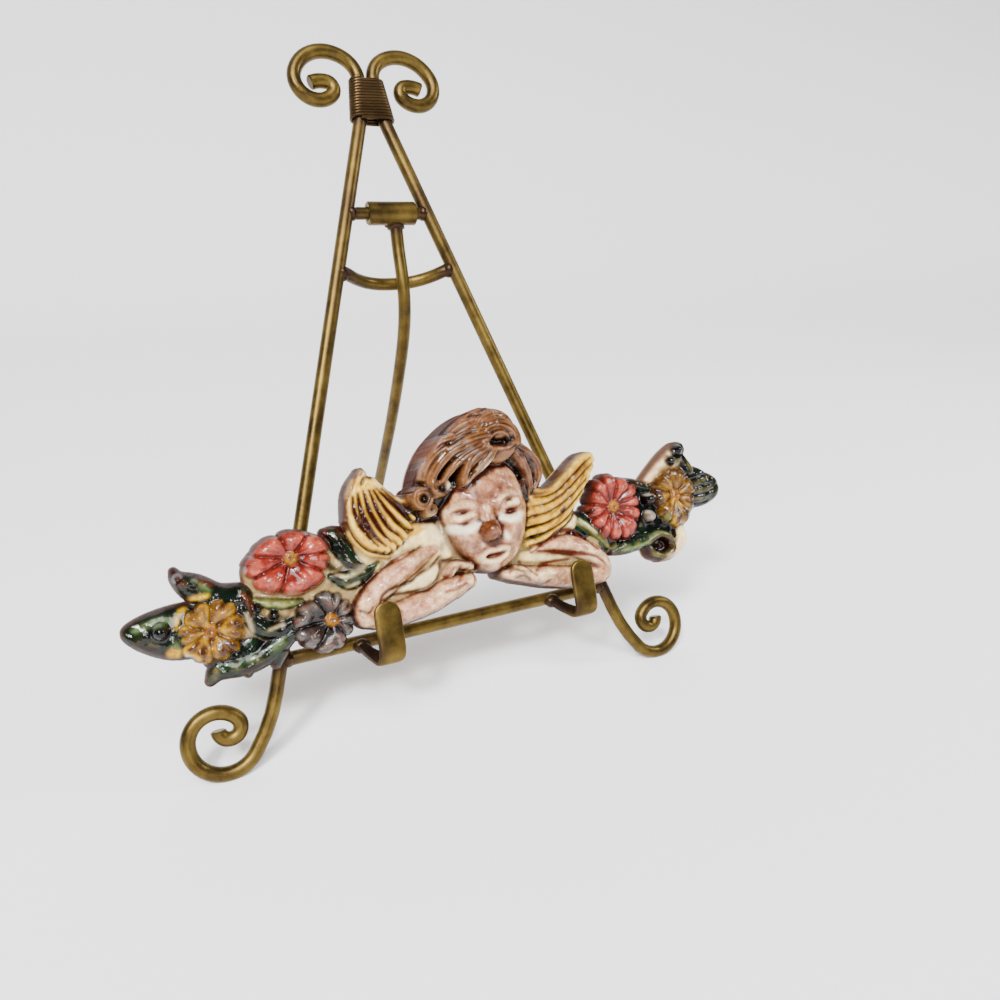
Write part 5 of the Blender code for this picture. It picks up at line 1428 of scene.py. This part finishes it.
def cross_rods(brass):
    bar = [(u, 0.0, 0.0) for u in np.linspace(-70, 70, 15)]
    points, faces = cross_rod(bar, ROD, 0.0, (2.6, 0.2, 0.0), (3.4, 3.7, 3.7))
    stains = ((-76, 0, 9), (76, 0, 9), (-44, 0, 7), (46, 0, 7))
    add_piece("crossbar_brass", points, faces, brass, "stand", ("lower_crossbar",), stains)
    pin = [(u, HINGE_V, 0.0) for u in np.linspace(-14, 14, 6)]
    points, faces = cross_rod(pin, 2.7, HINGE_V, (2.2, 0.0, 0.0), (2.6, 3.3, 3.3))
    stains = ((-18, HINGE_V, 8), (18, HINGE_V, 8))
    add_piece("hinge_rod_brass", points, faces, brass, "stand", ("hinge_rod",), stains)
    reach = half_width(BOW_V) - ROD - ROD_GAP
    bow = []
    for share in np.linspace(-1.0, 1.0, 33):
        bulge = 1.0 - abs(share) ** 2.4
        bow.append((reach * share, BOW_V - 2.0 * bulge, 11.6 * bulge))
    points, faces = cross_rod(bow, 2.8, BOW_V, (2.2, 0.0, 0.6), (3.0, 3.5, 3.5))
    stains = ((-26, BOW_V, 12), (26, BOW_V, 12))
    add_piece("stop_bow_brass", points, faces, brass, "stand", ("stop_bow",), stains)


def rear_leg(brass):
    """Sleeve that turns on the hinge rod, and the bent rod welded to it."""
    sides = 32
    angles = np.arange(sides) * 2 * math.pi / sides
    rings = []
    for u, radius in ((-9.4, 3.0), (12.4, 3.0), (12.4, 4.5), (11.9, 5.0), (-8.9, 5.0), (-9.4, 4.5)):
        up, back = HINGE_V + radius * np.cos(angles), radius * np.sin(angles)
        rings.append(np.stack([np.full(sides, u), up, back], axis=1))
    points, faces = loft(rings, closed=True)
    add_piece("hinge_barrel_brass", points, faces, brass, "leg", ("hinge_barrel",))
    bends = (
        (176.8, 2.3), (167.0, 4.0), (154.0, 5.2), (143.0, 8.6), (132.0, 16.4),
        (118.5, 31.6), (98.5, 58.5), (71.0, 101.0), (28.4, 166.8))
    path = curve_through([(LEG_U, v, w) for v, w in bends])
    points, faces = sweep(path, 2.9, chamfer=0.0)
    beads = (((LEG_U, 176.7, 2.1), (3.9, 2.1, 3.4)), ((2.6, 177.6, 2.6), (4.4, 1.4, 2.4)))
    points, faces = welded(flatten_feet(points), faces, beads)
    add_piece("rear_leg_brass", points, faces, brass, "leg", ("rear_leg",), ((LEG_U, 177, 8),))


def easel():
    brass = brass_material("antique_brass")
    wire = brass_material("dark_brass_wire", 0.72)
    uprights(brass)
    cross_rods(brass)
    points, faces = neck_coil()
    add_piece("neck_wrap_wire", points, faces, wire, "stand", ("neck_wrap",))
    for name, offset in (("hook_left", -43.6), ("hook_right", 46.6)):
        points, faces = hook(offset)
        points, faces = welded(points, faces, [((offset, -1.2, -3.4), (3.6, 3.2, 2.6))])
        add_piece(name + "_brass", points, faces, brass, "stand", (name,), ((offset, -2.5, 9),))
    rear_leg(brass)


def studio():
    profile = [(-2.0, 0.0), (1.2, 0.0)]
    for step in range(1, 25):
        angle = math.radians(90 * step / 24)
        profile.append((1.2 + 1.2 * math.sin(angle), 1.2 - 1.2 * math.cos(angle)))
    profile.append((2.4, 4.5))
    count = len(profile)
    points = [(x, y, z) for x in (-5.0, 5.0) for y, z in profile]
    faces = [(step, step + count, step + count + 1, step + 1) for step in range(count - 1)]
    floor = bpy.data.meshes.new("floor")
    floor.from_pydata(points, [], faces)
    floor.shade_smooth()
    mat, _, shader = new_material("pale_floor")
    shader.inputs["Base Color"].default_value = (0.96, 0.96, 0.965, 1.0)
    shader.inputs["Roughness"].default_value = 0.9
    floor.materials.append(mat)
    obj = placed("floor", floor)
    world_light = bpy.data.worlds.new("studio")
    world_light.use_nodes = True
    background = world_light.node_tree.nodes["Background"]
    background.inputs[0].default_value = (0.92, 0.95, 1.0, 1.0)
    background.inputs[1].default_value = 0.28
    bpy.context.scene.world = world_light
    target = Vector((0.0, 0.0, 0.09))
    for name, kind, place, size, power in (
        ("key", "AREA", (-0.7, -0.8, 1.0), 0.2, 19.0),
        ("side", "AREA", (0.9, -0.35, 0.7), 0.22, 5.0),
        ("low", "AREA", (-0.2, -1.1, 0.35), 0.16, 2.5),
        ("sky", "SUN", (-0.5, -1.1, 1.75), math.radians(40), 5.0),
    ):
        light = bpy.data.lights.new(name, kind)
        if kind == "AREA":
            light.size = size
        else:
            light.angle = size
        light.energy = power
        lamp = placed(name, light)
        lamp.location = place
        lamp.rotation_euler = (target - Vector(place)).to_track_quat("-Z", "Y").to_euler()


def camera():
    azimuth, elevation = math.radians(-25.621), math.radians(20.693)
    level = math.cos(elevation)
    ahead = Vector((-math.sin(azimuth) * level, math.cos(azimuth) * level, -math.sin(elevation)))
    lens = bpy.data.cameras.new("camera")
    lens.sensor_width = 36.0
    lens.lens = 27.04
    lens.clip_start = 0.01
    cam = placed("camera", lens)
    cam.location = (np.array((-108.8, -271.7, 166.8)) - ORIGIN) * 0.001
    cam.rotation_euler = ahead.to_track_quat("-Z", "Y").to_euler()
    bpy.context.scene.camera = cam


camera()
relief_piece = plaque_mesh()
relief_piece.data.materials.append(glaze_material())
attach(relief_piece, "stand")
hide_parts("plaque")
easel()
studio()
